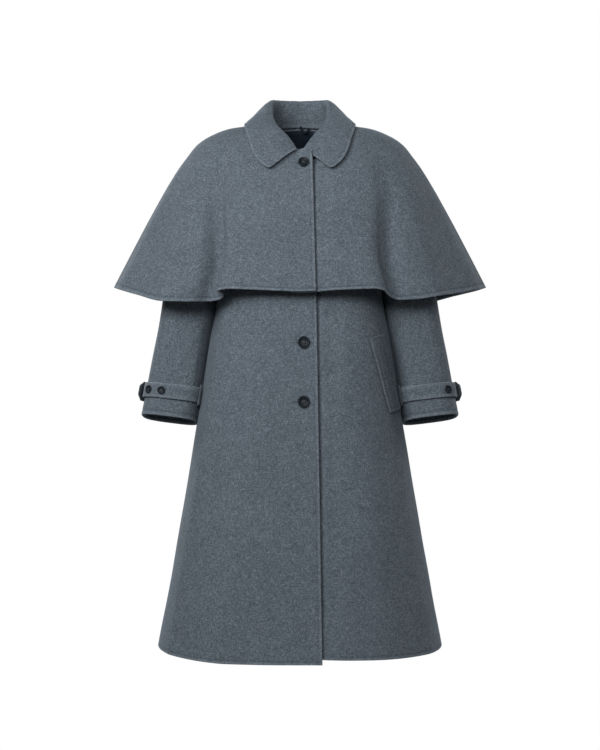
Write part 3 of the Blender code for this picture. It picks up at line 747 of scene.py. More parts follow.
def stitches(lines, name, pitch=STITCH_PITCH, size=1.0):
    """One mesh of short raised threads along lines of (points, normals)."""
    ring = np.linspace(0, math.tau, THREAD_SIDES, endpoint=False)
    stations = ((-1.0, 0.25), (-0.55, 0.9), (0.0, 1.0), (0.55, 0.9), (1.0, 0.25))
    points, faces = [], []
    for line, normals in lines:
        total = lengths(line)[-1]
        count = max(2, int(total / pitch))
        middle = (np.arange(count) + 0.5) * total / count
        here = resample(line, middle)
        before = resample(line, middle - pitch * 0.3)
        after = resample(line, middle + pitch * 0.3)
        out = resample(line, middle, normals)
        out = out / np.maximum(np.linalg.norm(out, axis=1, keepdims=True), 1e-9)
        for place, back, ahead, normal in zip(here, before, after, out):
            way = ahead - back
            way /= max(np.linalg.norm(way), 1e-9)
            side = np.cross(normal, way)
            start = len(points)
            for t, share in stations:
                centre = place + way * t * STITCH_LENGTH * size / 2
                centre = centre + normal * (0.00015 - 0.0004 * abs(t) ** 3) * size
                width = STITCH_WIDTH * size * share
                for angle in ring:
                    across = math.cos(angle) * width
                    high = math.sin(angle) * width * 0.8
                    points.append(centre + side * across + normal * high)
            faces += tube_faces(start, len(stations), THREAD_SIDES)
    piece = mesh_piece(name, points, faces, [thread])
    return placed(piece, "wool")


def grid_line(panel, row=None, column=None):
    """A row or a column of a panel's outer skin with its normals, for a stitch line."""
    outer = panel.skins()[0]
    where = (row, slice(None)) if row is not None else (slice(None), column)
    return outer[where], panel.normals[where]


GROOVE_INDEX = NEAR_EDGE.index(GROOVE_AT)


# ---- Coat body ----


def body_half(z, back=False):
    """A dense line round the body from the centre to the side seam at +X, at one height."""
    half, front_depth, back_depth = read(BODY, z)
    t = np.linspace(0, 1, 420)
    angle = (1 - (1 - t) ** 2) * math.pi / 2
    across = np.sin(angle)
    depth = np.clip(1 - across**BODY_ROUNDING, 0, 1) ** (1 / BODY_ROUNDING)
    y = depth * (back_depth if back else -front_depth)
    y[-1] = 0
    return np.stack([half * across, y, np.full_like(t, z)], axis=1)


def with_overlap(half, edge):
    """The half line carried on past the centre to -edge, starting there."""
    count = int(np.searchsorted(half[:, 0], edge))
    t = (edge - half[count - 1, 0]) / (half[count, 0] - half[count - 1, 0])
    last = half[count - 1] + (half[count] - half[count - 1]) * t
    other = np.concatenate([half[1:count], last[None]])[::-1] * (-1, 1, 1)
    return np.concatenate([other, half])


def armhole_point(share, depth):
    across = (1 - math.cos(share * math.pi)) / 2
    x = ARMPIT[0] + (SHOULDER_TIP[0] - ARMPIT[0]) * across
    z = ARMPIT[1] + (SHOULDER_TIP[1] - ARMPIT[1]) * across
    y = depth * math.sin(share * math.pi) if 0 < share < 1 else 0.0
    return np.array((x, y, z))


def neck_point(share, back=False):
    """The coat's neck edge from the centre (0) to the shoulder seam (1)."""
    angle = share * math.pi / 2
    y, z = NECK_BACK if back else NECK_FRONT
    forward = math.cos(angle) if share < 1 else 0.0
    rise = math.sin(angle) ** 1.5
    return np.array((NECK_SIDE[0] * math.sin(angle), y * forward, z + (NECK_SIDE[1] - z) * rise))


def top_point(turn, back):
    """The top edge: the neck (turn 0 to 1), then along the shoulder seam (1 to 2)."""
    if turn <= 1:
        return neck_point(turn, back)
    t = turn - 1
    x = NECK_SIDE[0] + (SHOULDER_TIP[0] - NECK_SIDE[0]) * t
    z = NECK_SIDE[1] + (SHOULDER_TIP[1] - NECK_SIDE[1]) * t
    return np.array((x, 0.0, z))


def towards_middle(point):
    """Level direction from a point to the coat's middle."""
    inward = -point * (1, 1, 0)
    return inward / np.linalg.norm(inward)


def shifted(point, inward, step):
    return point + inward * step[0] + (0, 0, step[1])


def yoke(bottom, back):
    """Rows from the armpit level up to the neck and shoulder: a patch blended from its edges."""
    depth = ARMHOLE_BACK if back else -ARMHOLE_FRONT
    sign = np.where(bottom[:, 0] < 0, -1.0, 1.0)
    across = np.abs(bottom[:, 0])
    turns = np.interp(across, [row[0] for row in TOP_TURNS], [row[1] for row in TOP_TURNS])
    flip = np.stack([sign, np.ones_like(sign), np.ones_like(sign)], axis=1)
    top = np.array([top_point(turn, back) for turn in turns]) * flip
    centre_low = np.array((0, bottom[np.argmin(across), 1], BODY_TOP))
    centre_top = top_point(0, back)
    share = (across / ARMPIT[0])[:, None]
    corner_low = np.array((ARMPIT[0], 0, ARMPIT[1]))
    corner_top = np.array((SHOULDER_TIP[0], 0, SHOULDER_TIP[1]))
    low, high = bottom * flip, top * flip
    rows = []
    for v in np.linspace(0, 1, YOKE_ROWS + 1)[1:]:
        centre = centre_low + (centre_top - centre_low) * (v, v**1.15, v)
        ruled = (1 - v) * low + v * high
        sides = (1 - share) * centre + share * armhole_point(v, depth)
        plain_centre = (1 - v) * centre_low + v * centre_top
        plain_side = (1 - v) * corner_low + v * corner_top
        rows.append((ruled + sides - (1 - share) * plain_centre - share * plain_side) * flip)
    return rows


def body_heights():
    return spread(BODY_TOP - HEM_Z, NEAR_EDGE, (0,), 132) + HEM_Z


def front_grid(overlap):
    """Rows from hem to neck for a front whose free edge lies overlap(z) past the centre."""
    heights = body_heights()
    lines = [with_overlap(body_half(z), overlap(z)) for z in heights]
    count = steps_for(lengths(lines[0])[-1], NEAR_EDGE, NEAR_SEAM)
    rows = []
    for line in lines:
        rows.append(resample(line, spread(lengths(line)[-1], NEAR_EDGE, NEAR_SEAM, count)))
        rows[-1][-1, 1] = 0
    rows += yoke(rows[-1], False)
    return np.array(rows)


def hem_distances(points):
    return np.maximum(points[:, :, 2] - HEM_Z, 0)


def side_distances(points):
    """Distance along each row from its last column, where the side seam is."""
    steps = np.linalg.norm(np.diff(points, axis=1), axis=2)
    back = np.cumsum(steps[:, ::-1], axis=1)[:, ::-1]
    return np.concatenate([back, np.zeros((len(points), 1))], axis=1)


def start_distances(points):
    steps = np.linalg.norm(np.diff(points, axis=1), axis=2)
    return np.concatenate([np.zeros((len(points), 1)), np.cumsum(steps, axis=1)], axis=1)


def body_share(points):
    """Where a point lies across the body, as if it were HALF_REFERENCE wide at every height."""
    half = read(BODY, points[:, :, 2])[..., 0]
    return points[:, :, 0] / half * HALF_REFERENCE


def raised_hem(rises, x, from_hem):
    """The hem's rise at each point, which fades out up the coat."""
    return read(rises, np.abs(x))[..., 0] * (1 - ramp(from_hem, 0, HEM_RISE_HEIGHT))


def build_front(side):
    """The right front lies over the left one."""
    over = side == RIGHT
    points = front_grid((lambda z: read(COAT_EDGE, z)[0]) if over else (lambda z: UNDERLAP))
    own_x = points[:, :, 0]
    panel = Panel(points, CLOTH, seam=True)
    from_edge = start_distances(points)
    from_side = side_distances(points)
    from_hem = hem_distances(points)
    share = body_share(points)
    calm = ramp(from_side, 0, CALM_WIDTH) * (1 - ramp(points[:, :, 2], -0.34, -0.22))
    table = BODY_FOLDS_RIGHT if over else BODY_FOLDS_LEFT
    height = folds(share, points[:, :, 2], table) + 0.0007 * drift(points, 0.16, 3 + side)
    panel.lift(height * calm * ramp(from_edge, 0.0, 0.05))
    if over:
        panel.lift(LAP_LIFT * (1 - ramp(from_edge, *LAP_FADE)))
    else:
        tuck = 1 - ramp(own_x, TUCKED_TO, UNTUCKED_AT)
        edge_x = read(COAT_EDGE, points[:, :, 2])[..., 0]
        crevice = 1 - ramp(own_x, edge_x + 0.0010, edge_x + 0.0085)
        panel.lift(-(CLOTH + LAYER_GAP) * tuck - CREVICE * crevice)
    rises = HEM_RISE if over else UNDER_HEM_RISE
    panel.points[:, :, 2] += raised_hem(rises, own_x, from_hem)
    panel.turn_in(np.minimum(from_edge, from_hem))
    panel.edge(from_edge)
    panel.edge(from_hem)
    panel.seam(from_side)
    if over:
        panel.mirror()
        from_edge, from_hem = from_edge[:, ::-1], from_hem[:, ::-1]
    lined = (from_edge > COAT_FACING) & (from_hem > COAT_HEM)
    word = WORDS[side]
    piece = panel.shell(f"coat_front_{word}", wool, navy, lined)
    placed(piece, "wool", f"front_{word}")
    column = -1 - GROOVE_INDEX if over else GROOVE_INDEX
    lines = [grid_line(panel, column=column), grid_line(panel, row=GROOVE_INDEX)]
    stitches(lines, f"stitches_front_{word}")
    return panel


def build_back():
    heights = body_heights()
    rows = []
    lines = [body_half(z, True) for z in heights]
    count = steps_for(2 * lengths(lines[0])[-1], NEAR_SEAM, NEAR_SEAM)
    for line in lines:
        whole = np.concatenate([line[::-1], line[1:] * (-1, 1, 1)])
        rows.append(resample(whole, spread(lengths(whole)[-1], NEAR_SEAM, NEAR_SEAM, count)))
        rows[-1][[0, -1], 1] = 0
    rows += yoke(rows[-1], True)
    points = np.array(rows)
    panel = Panel(points, CLOTH, seam=True)
    from_side = np.minimum(start_distances(points), side_distances(points))
    from_hem = hem_distances(points)
    share = body_share(points)
    calm = ramp(from_side, 0, CALM_WIDTH) * (1 - ramp(points[:, :, 2], -0.30, -0.20))
    height = folds(share, points[:, :, 2], BODY_FOLDS_BACK) + 0.0009 * drift(points, 0.17, 9)
    panel.lift(height * calm)
    panel.points[:, :, 2] += raised_hem(HEM_RISE, points[:, :, 0], from_hem)
    centre_seam = np.abs(points[:, :, 0])
    panel.turn_in(from_hem)
    panel.edge(from_hem)
    panel.seam(from_side)
    panel.inset += 0.0006 * np.exp(-((centre_seam / 0.0012) ** 2))
    lined = from_hem > COAT_HEM
    lined[-2:] = False
    piece = panel.shell("coat_back", wool, navy, lined)
    placed(piece, "wool", "back")
    stitches([grid_line(panel, row=GROOVE_INDEX)], "stitches_back_hem")
    return panel


def build_back_lining(back):
    """The lining of the back's top, with a soft pleat down its middle."""
    rows = [k for k, row in enumerate(back.points) if row[0, 2] > -0.262]
    first = rows[0]
    points = back.points[first:, 7:-7] - back.normals[first:, 7:-7] * (CLOTH + 0.0012)
    points[-1] += (points[-2] - points[-1]) * 0.45
    panel = Panel(points, LINING)
    pleat = np.exp(-((points[:, :, 0] / 0.006) ** 2))
    panel.lift(-0.0030 * pleat * (1 - ramp(points[:, :, 2], -0.05, 0.01)))
    bottom = points[:, :, 2] - points[0, :, 2]
    ends = np.minimum(start_distances(points), side_distances(points))
    panel.edge(np.minimum(bottom, ends), stitched=False)
    piece = panel.shell("yoke_lining", navy)
    placed(piece, "lining", "back_lining")


def front_surface(x, z):
    """Points of the coat front's outer surface at arrays of x and z."""
    half, depth, _ = np.moveaxis(read(BODY, z), -1, 0)
    q = np.clip(np.abs(x) / half, 0, 0.9999)
    y = -depth * (1 - q**BODY_ROUNDING) ** (1 / BODY_ROUNDING)
    return np.stack([x, y, z], axis=-1)


def build_welt():
    """The pocket's standing band with its stitched edge."""
    t = spread(1, np.array(NEAR_EDGE) / WELT_LENGTH, np.array(NEAR_EDGE) / WELT_LENGTH, 24)
    s = spread(1, np.array(NEAR_EDGE) / WELT_WIDTH, np.array(NEAR_EDGE) / WELT_WIDTH, 3)
    front_share, front_z, side_share, side_z = np.moveaxis(read(WELT, t), -1, 0)
    share = front_share[:, None] + (side_share - front_share)[:, None] * s
    z = front_z[:, None] + (side_z - front_z)[:, None] * s
    x = share * read(BODY, z)[..., 0]
    panel = Panel(front_surface(x, z), DOUBLE_CLOTH)
    long_way = np.minimum(t, 1 - t)[:, None] * WELT_LENGTH
    short_way = np.minimum(s, 1 - s)[None, :] * WELT_WIDTH
    stand = 0.0008 * np.sin(math.pi * s)[None, :] * np.ones_like(t)[:, None]
    panel.lift(LAYER_GAP + DOUBLE_CLOTH + 0.0012 + stand)
    panel.edge(np.minimum(long_way, short_way))
    # The darker wool copy: painted shade on the welt.
    piece = panel.shell("pocket_welt", wool_painted_shade)
    placed(piece, "wool", "pocket_welt_left")
    lines = [grid_line(panel, row=GROOVE_INDEX), grid_line(panel, row=-1 - GROOVE_INDEX)]
    lines += [grid_line(panel, column=GROOVE_INDEX)]
    stitches(lines, "stitches_welt")


# ---- Sleeves and cuffs ----


def sleeve_points(places, degrees, side, out=0.0):
    """Round the sleeve: 0 degrees is the inner seam, 90 the front and 180 the outer edge."""
    rows = read(SLEEVE, places)
    inner_x, inner_z, outer_x, outer_z, depth, forward, tilt = np.moveaxis(rows, -1, 0)
    angle = np.radians(degrees)
    across, front = (
        np.sign(wave) * np.abs(wave) ** (2 / SLEEVE_ROUNDING) for wave in (-np.cos(angle), np.sin(angle))
    )
    half = np.hypot(outer_x - inner_x, outer_z - inner_z) / 2
    stretch = 1 + out / half
    x = (inner_x + outer_x) / 2 + across * (outer_x - inner_x) / 2 * stretch
    z = (inner_z + outer_z) / 2 + across * (outer_z - inner_z) / 2 * stretch
    return np.stack([side * x, -forward - front * (depth + out), z + front * tilt], axis=-1)


def build_sleeve_half(side, front):
    places = 1 - spread(SLEEVE_LENGTH, NEAR_EDGE, (0,), 76) / SLEEVE_LENGTH
    first, last = (0, OUTER_SEAM) if front else (OUTER_SEAM, 360)
    turns = np.linspace(first, last, 46 if front else 54)
    seam_step = 0.5
    turns = np.concatenate([turns[:1], [first + seam_step, first + 2 * seam_step], turns[1:-1]])
    turns = np.concatenate([turns, [last - 2 * seam_step, last - seam_step, last]])
    if side == RIGHT:
        turns = turns[::-1]
    turn_grid, place_grid = np.meshgrid(turns, places)
    points = sleeve_points(place_grid, turn_grid, side)
    panel = Panel(points, CLOTH)
    from_cuff = (1 - place_grid) * SLEEVE_LENGTH
    from_seam = np.radians(np.minimum(turn_grid - first, last - turn_grid)) * SLEEVE_RADIUS
    height = folds(turn_grid / 100, place_grid, SLEEVE_FOLDS)
    height = height + 0.0008 * drift(points, 0.09, 21 + side)
    panel.lift(height * ramp(from_seam, 0, 0.02) * ramp(from_cuff, 0.0, 0.05))
    panel.turn_in(from_cuff)
    panel.edge(from_cuff)
    panel.seam(from_seam)
    word = WORDS[side]
    half = "front" if front else "back"
    # Navy inside from 12 mm above the cuff edge: real lining, brought this low as painted shade.
    lined = from_cuff > CUFF_SHADE_LINING_FROM
    piece = panel.shell(f"sleeve_{half}_{word}_cloth", wool, navy, lined)
    placed(piece, "wool", f"sleeve_{half}_{word}")
    lines = [grid_line(panel, row=GROOVE_INDEX)]
    if front:
        at_seam = 3 if side == RIGHT else -4
        lines.append(grid_line(panel, column=at_seam))
    stitches(lines, f"stitches_sleeve_{half}_{word}")


def band_on_sleeve(name, side, place_ends, turn_ends, stand_off, thickness, material, **options):
    """A band on the sleeve. stand_off and narrow are functions of the place along it."""
    height = (place_ends[1] - place_ends[0]) * SLEEVE_LENGTH
    arc = math.radians(abs(turn_ends[1] - turn_ends[0])) * CUFF_RADIUS
    near = np.array(options.get("near", NEAR_EDGE))
    t = spread(1, near / arc, near / arc, options.get("steps", 60))
    s = spread(1, near / height, near / height, options.get("rows", 3))
    t_grid, s_grid = np.meshgrid(t, s)
    narrow = options.get("narrow", np.ones_like)(t_grid)
    middle = (place_ends[0] + place_ends[1]) / 2
    places = middle + (s_grid - 0.5) * (place_ends[1] - place_ends[0]) * narrow
    turns = turn_ends[0] + (turn_ends[1] - turn_ends[0]) * t_grid
    points = sleeve_points(places, turns, side, stand_off(t_grid) + thickness)
    points = points[::-1]
    if (turn_ends[1] - turn_ends[0]) * side < 0:
        points = points[:, ::-1]
        t_grid, s_grid, narrow = t_grid[:, ::-1], s_grid[:, ::-1], narrow[:, ::-1]
    panel = Panel(points, thickness)
    from_ends = np.minimum(t_grid, 1 - t_grid)[::-1] * arc
    from_sides = np.minimum(s_grid, 1 - s_grid)[::-1] * height * narrow[::-1]
    panel.edge(np.minimum(from_ends, from_sides), stitched=options.get("stitched", True))
    piece = panel.shell(name, material)
    return panel, piece


def build_cuff(side):
    word = WORDS[side]
    on_strap = LAYER_GAP + DOUBLE_CLOTH + LAYER_GAP

    strap, piece = band_on_sleeve(
        f"cuff_band_{word}",
        side,
        STRAP_PLACES,
        (STRAP_FROM, STRAP_TO),
        lambda t: LAYER_GAP,
        DOUBLE_CLOTH,
        wool,
        near=(0, 0.0002, 0.0007, 0.0014, 0.0024, 0.0033, 0.0038, 0.0043, 0.0055),
        steps=110,
        stitched=False,
    )
    placed(piece, "wool", f"cuff_strap_{word}")
    lines = [grid_line(strap, row=7), grid_line(strap, row=-8)]
    stitches(lines, f"stitches_cuff_{word}", size=0.8, pitch=0.0036)

    # The tab takes the darker wool copy: painted shade.
    _, piece = band_on_sleeve(
        f"cuff_tongue_{word}",
        side,
        TAB_HEIGHTS,
        (TAB_FROM, TAB_TO),
        lambda t: on_strap + TAB_STAND_OFF * ramp(t, 0.15, 1.0),
        CLOTH,
        wool_painted_shade,
        steps=26,
        narrow=lambda t: 1 - (1 - TAB_TIP_SHARE) * np.clip((t - 0.72) / 0.28, 0, 1),
    )
    placed(piece, "wool", f"cuff_tab_{word}")

    # The loop takes the darker wool copy: painted shade.
    _, piece = band_on_sleeve(
        f"belt_loop_{word}",
        side,
        LOOP_PLACES,
        (LOOP_AT - LOOP_HALF_WIDTH, LOOP_AT + LOOP_HALF_WIDTH),
        lambda t: on_strap,
        CLOTH,
        wool_painted_shade,
        near=(0, 0.0002, 0.0007, 0.0014),
        steps=6,
        rows=16,
        stitched=False,
    )
    placed(piece, "wool", f"strap_loop_{word}")


# ---- Cape ----


def cape_line(place, hem, back=False):
    """A dense line round the cape from the centre to the side seam at +X."""
    t = np.linspace(0, 1, 360)
    side_x, side_z = read(CAPE_SIDE, place)
    centre_y, centre_z = read(CAPE_BACK if back else CAPE_FRONT, place)
    across, depth, drop = np.moveaxis(read(hem, t), -1, 0)
    folded = ramp(place, *FOLDS_GROW)
    angle = t * math.pi / 2
    across = across * folded + np.sin(angle) * (1 - folded)
    round_depth = np.clip(np.cos(angle), 0, 1) ** CAPE_ROUNDING
    depth = depth * folded + round_depth * (1 - folded)
    z = centre_z + (side_z - centre_z) * np.sin(angle) ** 1.5 - drop * folded
    points = np.stack([side_x * across, centre_y * depth, z], axis=1)
    points[-1, 1] = 0
    return points


def cape_places():
    return 1 - spread(CAPE_LENGTH, NEAR_EDGE, (0,), 54) / CAPE_LENGTH


def cape_at(share, place):
    """A point of the plain cape: share runs from the centre front to the centre back at 2."""
    share = max(0.0, min(2.0, share))
    back = share > 1
    own = 2 - share if back else share
    line = cape_line(place, HEM_BACK if back else HEM_LEFT, back)
    spot = own * (len(line) - 1)
    low = min(int(spot), len(line) - 2)
    return line[low] + (line[low + 1] - line[low]) * (spot - low)


def cape_surface(share, place):
    step = 0.02
    across = cape_at(share + step, place) - cape_at(share - step, place)
    up = cape_at(share, max(0.0, place - step)) - cape_at(share, place + step)
    normal = np.cross(across, up)
    return cape_at(share, place), normal / np.linalg.norm(normal)


def build_cape_front(side):
    """The right cape front lies over the left one, with its top corner rounded."""
    over = side == RIGHT
    hem = HEM_RIGHT if over else HEM_LEFT
    places = cape_places()
    lines = []
    for place in places:
        half = cape_line(place, hem)
        edge = CAPE_UNDERLAP
        if over:
            from_top = place * CAPE_LENGTH
            bite = max(0.0, 1 - from_top / PLACKET_CORNER)
            edge = read(CAPE_EDGE, place)[0] - PLACKET_CORNER * (1 - math.sqrt(1 - bite**2))
        lines.append(with_overlap(half, edge))
    count = steps_for(lengths(lines[0])[-1], NEAR_EDGE, NEAR_EDGE, 0.0055)
    points = np.array(
        [resample(line, spread(lengths(line)[-1], NEAR_EDGE, NEAR_EDGE, count)) for line in lines]
    )
    points[:, -1, 1] = 0
    place_grid = np.broadcast_to(places[:, None], points.shape[:2])
    if over:
        dip = PLACKET_DIP * ramp(-points[:, :, 0], 0.002, read(CAPE_EDGE, 0.0)[0])
        points[:, :, 2] -= dip * (1 - ramp(place_grid, 0.0, 0.12))
    panel = Panel(points, CLOTH, seam=True)
    from_hem = (1 - place_grid) * CAPE_LENGTH
    from_top = place_grid * CAPE_LENGTH
    from_edge = start_distances(points)
    from_side = side_distances(points)
    calm = ramp(from_side, 0.0, CALM_WIDTH) * ramp(from_edge, 0.0, 0.05) * ramp(place_grid, 0.2, 0.5)
    panel.lift(0.0010 * drift(points, 0.12, 31 + side) * calm)
    own_x = points[:, :, 0]
    if over:
        raised = (1 - ramp(place_grid, 0.10, 0.32)) * (1 - ramp(own_x, -0.012, 0.004))
        panel.lift(LAP_LIFT * (1 - ramp(from_edge, *LAP_FADE)) + PLACKET_RAISE * raised)
    else:
        tuck = 1 - ramp(own_x, CAPE_TUCKED_TO, CAPE_UNTUCKED_AT)
        deep = 0.0060 * (1 - ramp(own_x, 0.026, 0.044)) * (1 - ramp(place_grid, 0.06, 0.20))
        edge_x = read(CAPE_EDGE, places)
        crevice = 1 - ramp(own_x, edge_x + 0.0010, edge_x + 0.0075)
        panel.lift(-(CLOTH + LAYER_GAP) * tuck - deep - CREVICE * 0.8 * crevice)
    panel.turn_in(np.minimum(np.minimum(from_edge, from_hem), from_top))
    panel.edge(np.minimum(from_edge, from_top), stitched=False)
    panel.stitch(from_edge)
    panel.edge(from_hem)
    panel.seam(from_side)
    panel.stitch(from_side)
    if over:
        panel.mirror()
        from_edge, from_hem = from_edge[:, ::-1], from_hem[:, ::-1]
    word = WORDS[side]
    lined = (from_edge > CAPE_FACING) & (from_hem > CAPE_HEM)
    piece = panel.shell(f"cape_panel_{word}", wool, navy, lined)
    placed(piece, "wool", f"cape_front_{word}")
    edge_column = -1 - GROOVE_INDEX if over else GROOVE_INDEX
    side_column = GROOVE_INDEX if over else -1 - GROOVE_INDEX
    lines = [grid_line(panel, column=edge_column), grid_line(panel, column=side_column)]
    lines.append(grid_line(panel, row=GROOVE_INDEX))
    stitches(lines, f"stitches_cape_{word}")
    return panel


def build_cape_back():
    places = cape_places()
    rows = []
    lines = []
    for place in places:
        half = cape_line(place, HEM_BACK, True)
        lines.append(np.concatenate([half[::-1], half[1:] * (-1, 1, 1)]))
    count = steps_for(lengths(lines[0])[-1], NEAR_SEAM, NEAR_SEAM, 0.0058)
    for line in lines:
        rows.append(resample(line, spread(lengths(line)[-1], NEAR_SEAM, NEAR_SEAM, count)))
    points = np.array(rows)
    points[:, [0, -1], 1] = 0
    panel = Panel(points, CLOTH, seam=True)
    place_grid = np.broadcast_to(places[:, None], points.shape[:2])
    from_hem = (1 - place_grid) * CAPE_LENGTH
    from_side = np.minimum(start_distances(points), side_distances(points))
    calm = ramp(from_side, 0.0, CALM_WIDTH) * ramp(place_grid, 0.25, 0.6)
    panel.lift(0.0016 * drift(points, 0.11, 41) * calm)
    panel.turn_in(from_hem)
    panel.edge(place_grid * CAPE_LENGTH, stitched=False)
    panel.edge(from_hem)
    panel.seam(from_side)
    piece = panel.shell("cape_panel_back", wool, navy, from_hem > CAPE_HEM)
    placed(piece, "wool", "cape_back")
    stitches([grid_line(panel, row=GROOVE_INDEX)], "stitches_cape_back")


# ---- Collar ----


def smooth_line(knots, steps):
    """A smooth curve through knots (a Catmull-Rom spline), with steps points to each span."""
    knots = np.asarray(knots)
    padded = np.concatenate([2 * knots[:1] - knots[1:2], knots, 2 * knots[-1:] - knots[-2:-1]])
    t = np.linspace(0, 1, steps, endpoint=False)[:, None]
    parts = []
    for k in range(len(knots) - 1):
        a, b, c, d = padded[k : k + 4]
        parts.append(
            0.5
            * (
                2 * b
                + (c - a) * t
                + (2 * a - 5 * b + 4 * c - d) * t**2
                + (3 * b - a - 3 * c + d) * t**3
            )
        )
    return np.concatenate(parts + [knots[-1:]])


def collar_fall(places):
    """Middle of the collar's fall: rows from its outer edge up to the roll line, at +X."""
    rolls = read(ROLL, places)
    edge_rows = read(COLLAR_EDGE, places)
    edges = []
    lift = COLLAR_POINT_LIFT * (1 - ramp(places, 0.20, 0.50))
    for (cape_place, share), off in zip(edge_rows, lift):
        on_cape, normal = cape_surface(share, cape_place)
        edges.append(on_cape + normal * (COLLAR_CLEARANCE + off + DOUBLE_CLOTH / 2))
    edges = np.array(edges)
    heights = np.linspace(0, 1, 9)
    return np.array([edges + (rolls - edges) * t for t in heights]), heights


def build_collar():
    """Fall, roll and stand as one turned piece; its left end lies behind the right cape front."""
    even = np.linspace(NEAR_EDGE[-1] / COLLAR_HALF_LENGTH, 1, 56)
    half_places = np.concatenate(
        [np.array(NEAR_EDGE) / COLLAR_HALF_LENGTH, even[1:]]
    )
    fall, heights = collar_fall(half_places)
    whole = np.concatenate([fall, fall[:, :-1][:, ::-1] * (-1, 1, 1)], axis=1)
    normals = normals_of(whole)
    bulge = np.sin(heights * math.pi) * COLLAR_BULGE
    whole = whole + normals * bulge[:, None, None]

    places = np.concatenate([half_places, half_places[:-1][::-1]])
    sides = np.concatenate([np.ones(len(half_places)), -np.ones(len(half_places) - 1)])
    columns = []
    for j, (place, side) in enumerate(zip(places, sides)):
        if place <= STAND_SIDE:
            base = neck_point(place / STAND_SIDE)
        else:
            base = neck_point((1 - place) / (1 - STAND_SIDE), True)
        roll = read(ROLL, place)
        grown = float(ramp(place, 0.02, 0.24))
        inward = towards_middle(base)
        short_top = shifted(roll, inward, SHORT_TOP)
        short_base = shifted(roll, inward, SHORT_BASE)
        top = short_top + (shifted(roll, inward, STAND_TOP) - short_top) * grown
        low = short_base + (shifted(base, inward, STAND_BASE) - short_base) * grown
        middle = (top + low) / 2 + inward * 0.0015 * grown
        crest = shifted(roll, inward, COLLAR_CREST)
        flip = (side, 1, 1)
        knots = list(whole[:-1, j]) + [crest * flip, top * flip, middle * flip, low * flip]
        columns.append(smooth_line(knots, 10))
    grid = []
    from_end = np.minimum(half_places * COLLAR_HALF_LENGTH, COLLAR_CORNER)
    cuts = COLLAR_CORNER - np.sqrt(COLLAR_CORNER**2 - (COLLAR_CORNER - from_end) ** 2)
    cuts = np.concatenate([cuts, cuts[:-1][::-1]])
    for line, cut in zip(columns, cuts):
        total = lengths(line)[-1]
        stations = spread(total - cut, NEAR_EDGE, (0, 0.0004, 0.0012, 0.0024), 62)
        grid.append(resample(line, stations + cut))
    middle = np.array(grid).transpose(1, 0, 2)
    normals = normals_of(middle)
    points = middle + normals * DOUBLE_CLOTH / 2
    from_edge = start_distances(points.transpose(1, 0, 2)).transpose(1, 0)
    from_top = side_distances(points.transpose(1, 0, 2)).transpose(1, 0)
    ends = np.minimum(start_distances(points), side_distances(points))
    left_end = places[None, :] * np.ones((len(points), 1)) < 0.30
    left_end = left_end & (sides[None, :] > 0)
    x = points[:, :, 0]
    tuck = np.where(left_end, 1 - ramp(x, 0.0225, 0.0305), 0)
    points = points + np.array((0, COLLAR_TUCK, 0)) * tuck[..., None]
    panel = Panel(points, DOUBLE_CLOTH)
    panel.normals = normals
    panel.edge(np.minimum(from_edge, ends))
    panel.edge(from_top, stitched=False)
    piece = panel.shell("turned_collar", wool)
    placed(piece, "wool", "collar", "collar_stand")
    lines = [grid_line(panel, row=GROOVE_INDEX)]
    lines.append(grid_line(panel, column=GROOVE_INDEX))
    lines.append(grid_line(panel, column=-1 - GROOVE_INDEX))
    lines = [(line[:200], out[:200]) for line, out in lines]
    stitches(lines, "stitches_collar", size=0.9)


def tube(name, line, radius_across, radius_out, normals, material, sides=10):
    """A round-edged band along a line, with closed ends."""
    way = np.gradient(line, axis=0)
    way /= np.linalg.norm(way, axis=1, keepdims=True)
    across = np.cross(normals, way)
    across /= np.linalg.norm(across, axis=1, keepdims=True)
    out = np.cross(way, across)
    angles = np.linspace(0, math.tau, sides, endpoint=False)
    points = []
    for centre, a, o in zip(line, across, out):
        for angle in angles:
            c, s = math.cos(angle), math.sin(angle)
            c = math.copysign(abs(c) ** 0.6, c)
            s = math.copysign(abs(s) ** 0.6, s)
            points.append(centre + a * c * radius_across + o * s * radius_out)
    return mesh_piece(name, points, tube_faces(0, len(line), sides), [material])


def build_neck_trims():
    """The bound seam at the back of the neck and the hanger loop sewn over it."""
    shares = np.linspace(-0.62, 0.62, 41)
    line, normals = [], []
    for share in shares:
        point = neck_point(abs(share), True) * (1 if share >= 0 else -1, 1, 1)
        inward = towards_middle(point)
        line.append(shifted(point, inward, NECK_BAND))
        normals.append(inward)
    line, normals = np.array(line), np.array(normals)
    piece = tube("neck_seam_band", line, 0.0042, 0.0020, normals, wool)
    placed(piece, "wool")
    stitches([(line + normals * 0.0012, normals)], "stitches_neck_band", size=0.8)

    drop = np.sin(np.linspace(0, math.pi, 25)) ** 0.7
    x = 0.010 + np.linspace(-0.009, 0.009, 25)
    middle = line[len(line) // 2]
    depth = middle[1] - 0.0022 - 0.0012 * drop
    loop = np.stack([x, depth, middle[2] - 0.0010 - 0.013 * drop], axis=1)
    facing = np.tile(np.array((0.0, -1.0, 0.0)), (len(loop), 1))
    piece = tube("hanger_loop", loop, 0.0024, 0.0008, facing, navy)
    placed(piece, "lining")


# ---- Buttons ----

HOLE_SHIFT = 0.008  # how far a buttonhole's middle lies from its button
# Shares of a button's radius: thread holes from its middle, their radius, strands apart, strand radius.
HOLES_AT, HOLE_RADIUS, STRANDS_APART, STRAND_RADIUS = 0.23, 0.105, 0.035, 0.026

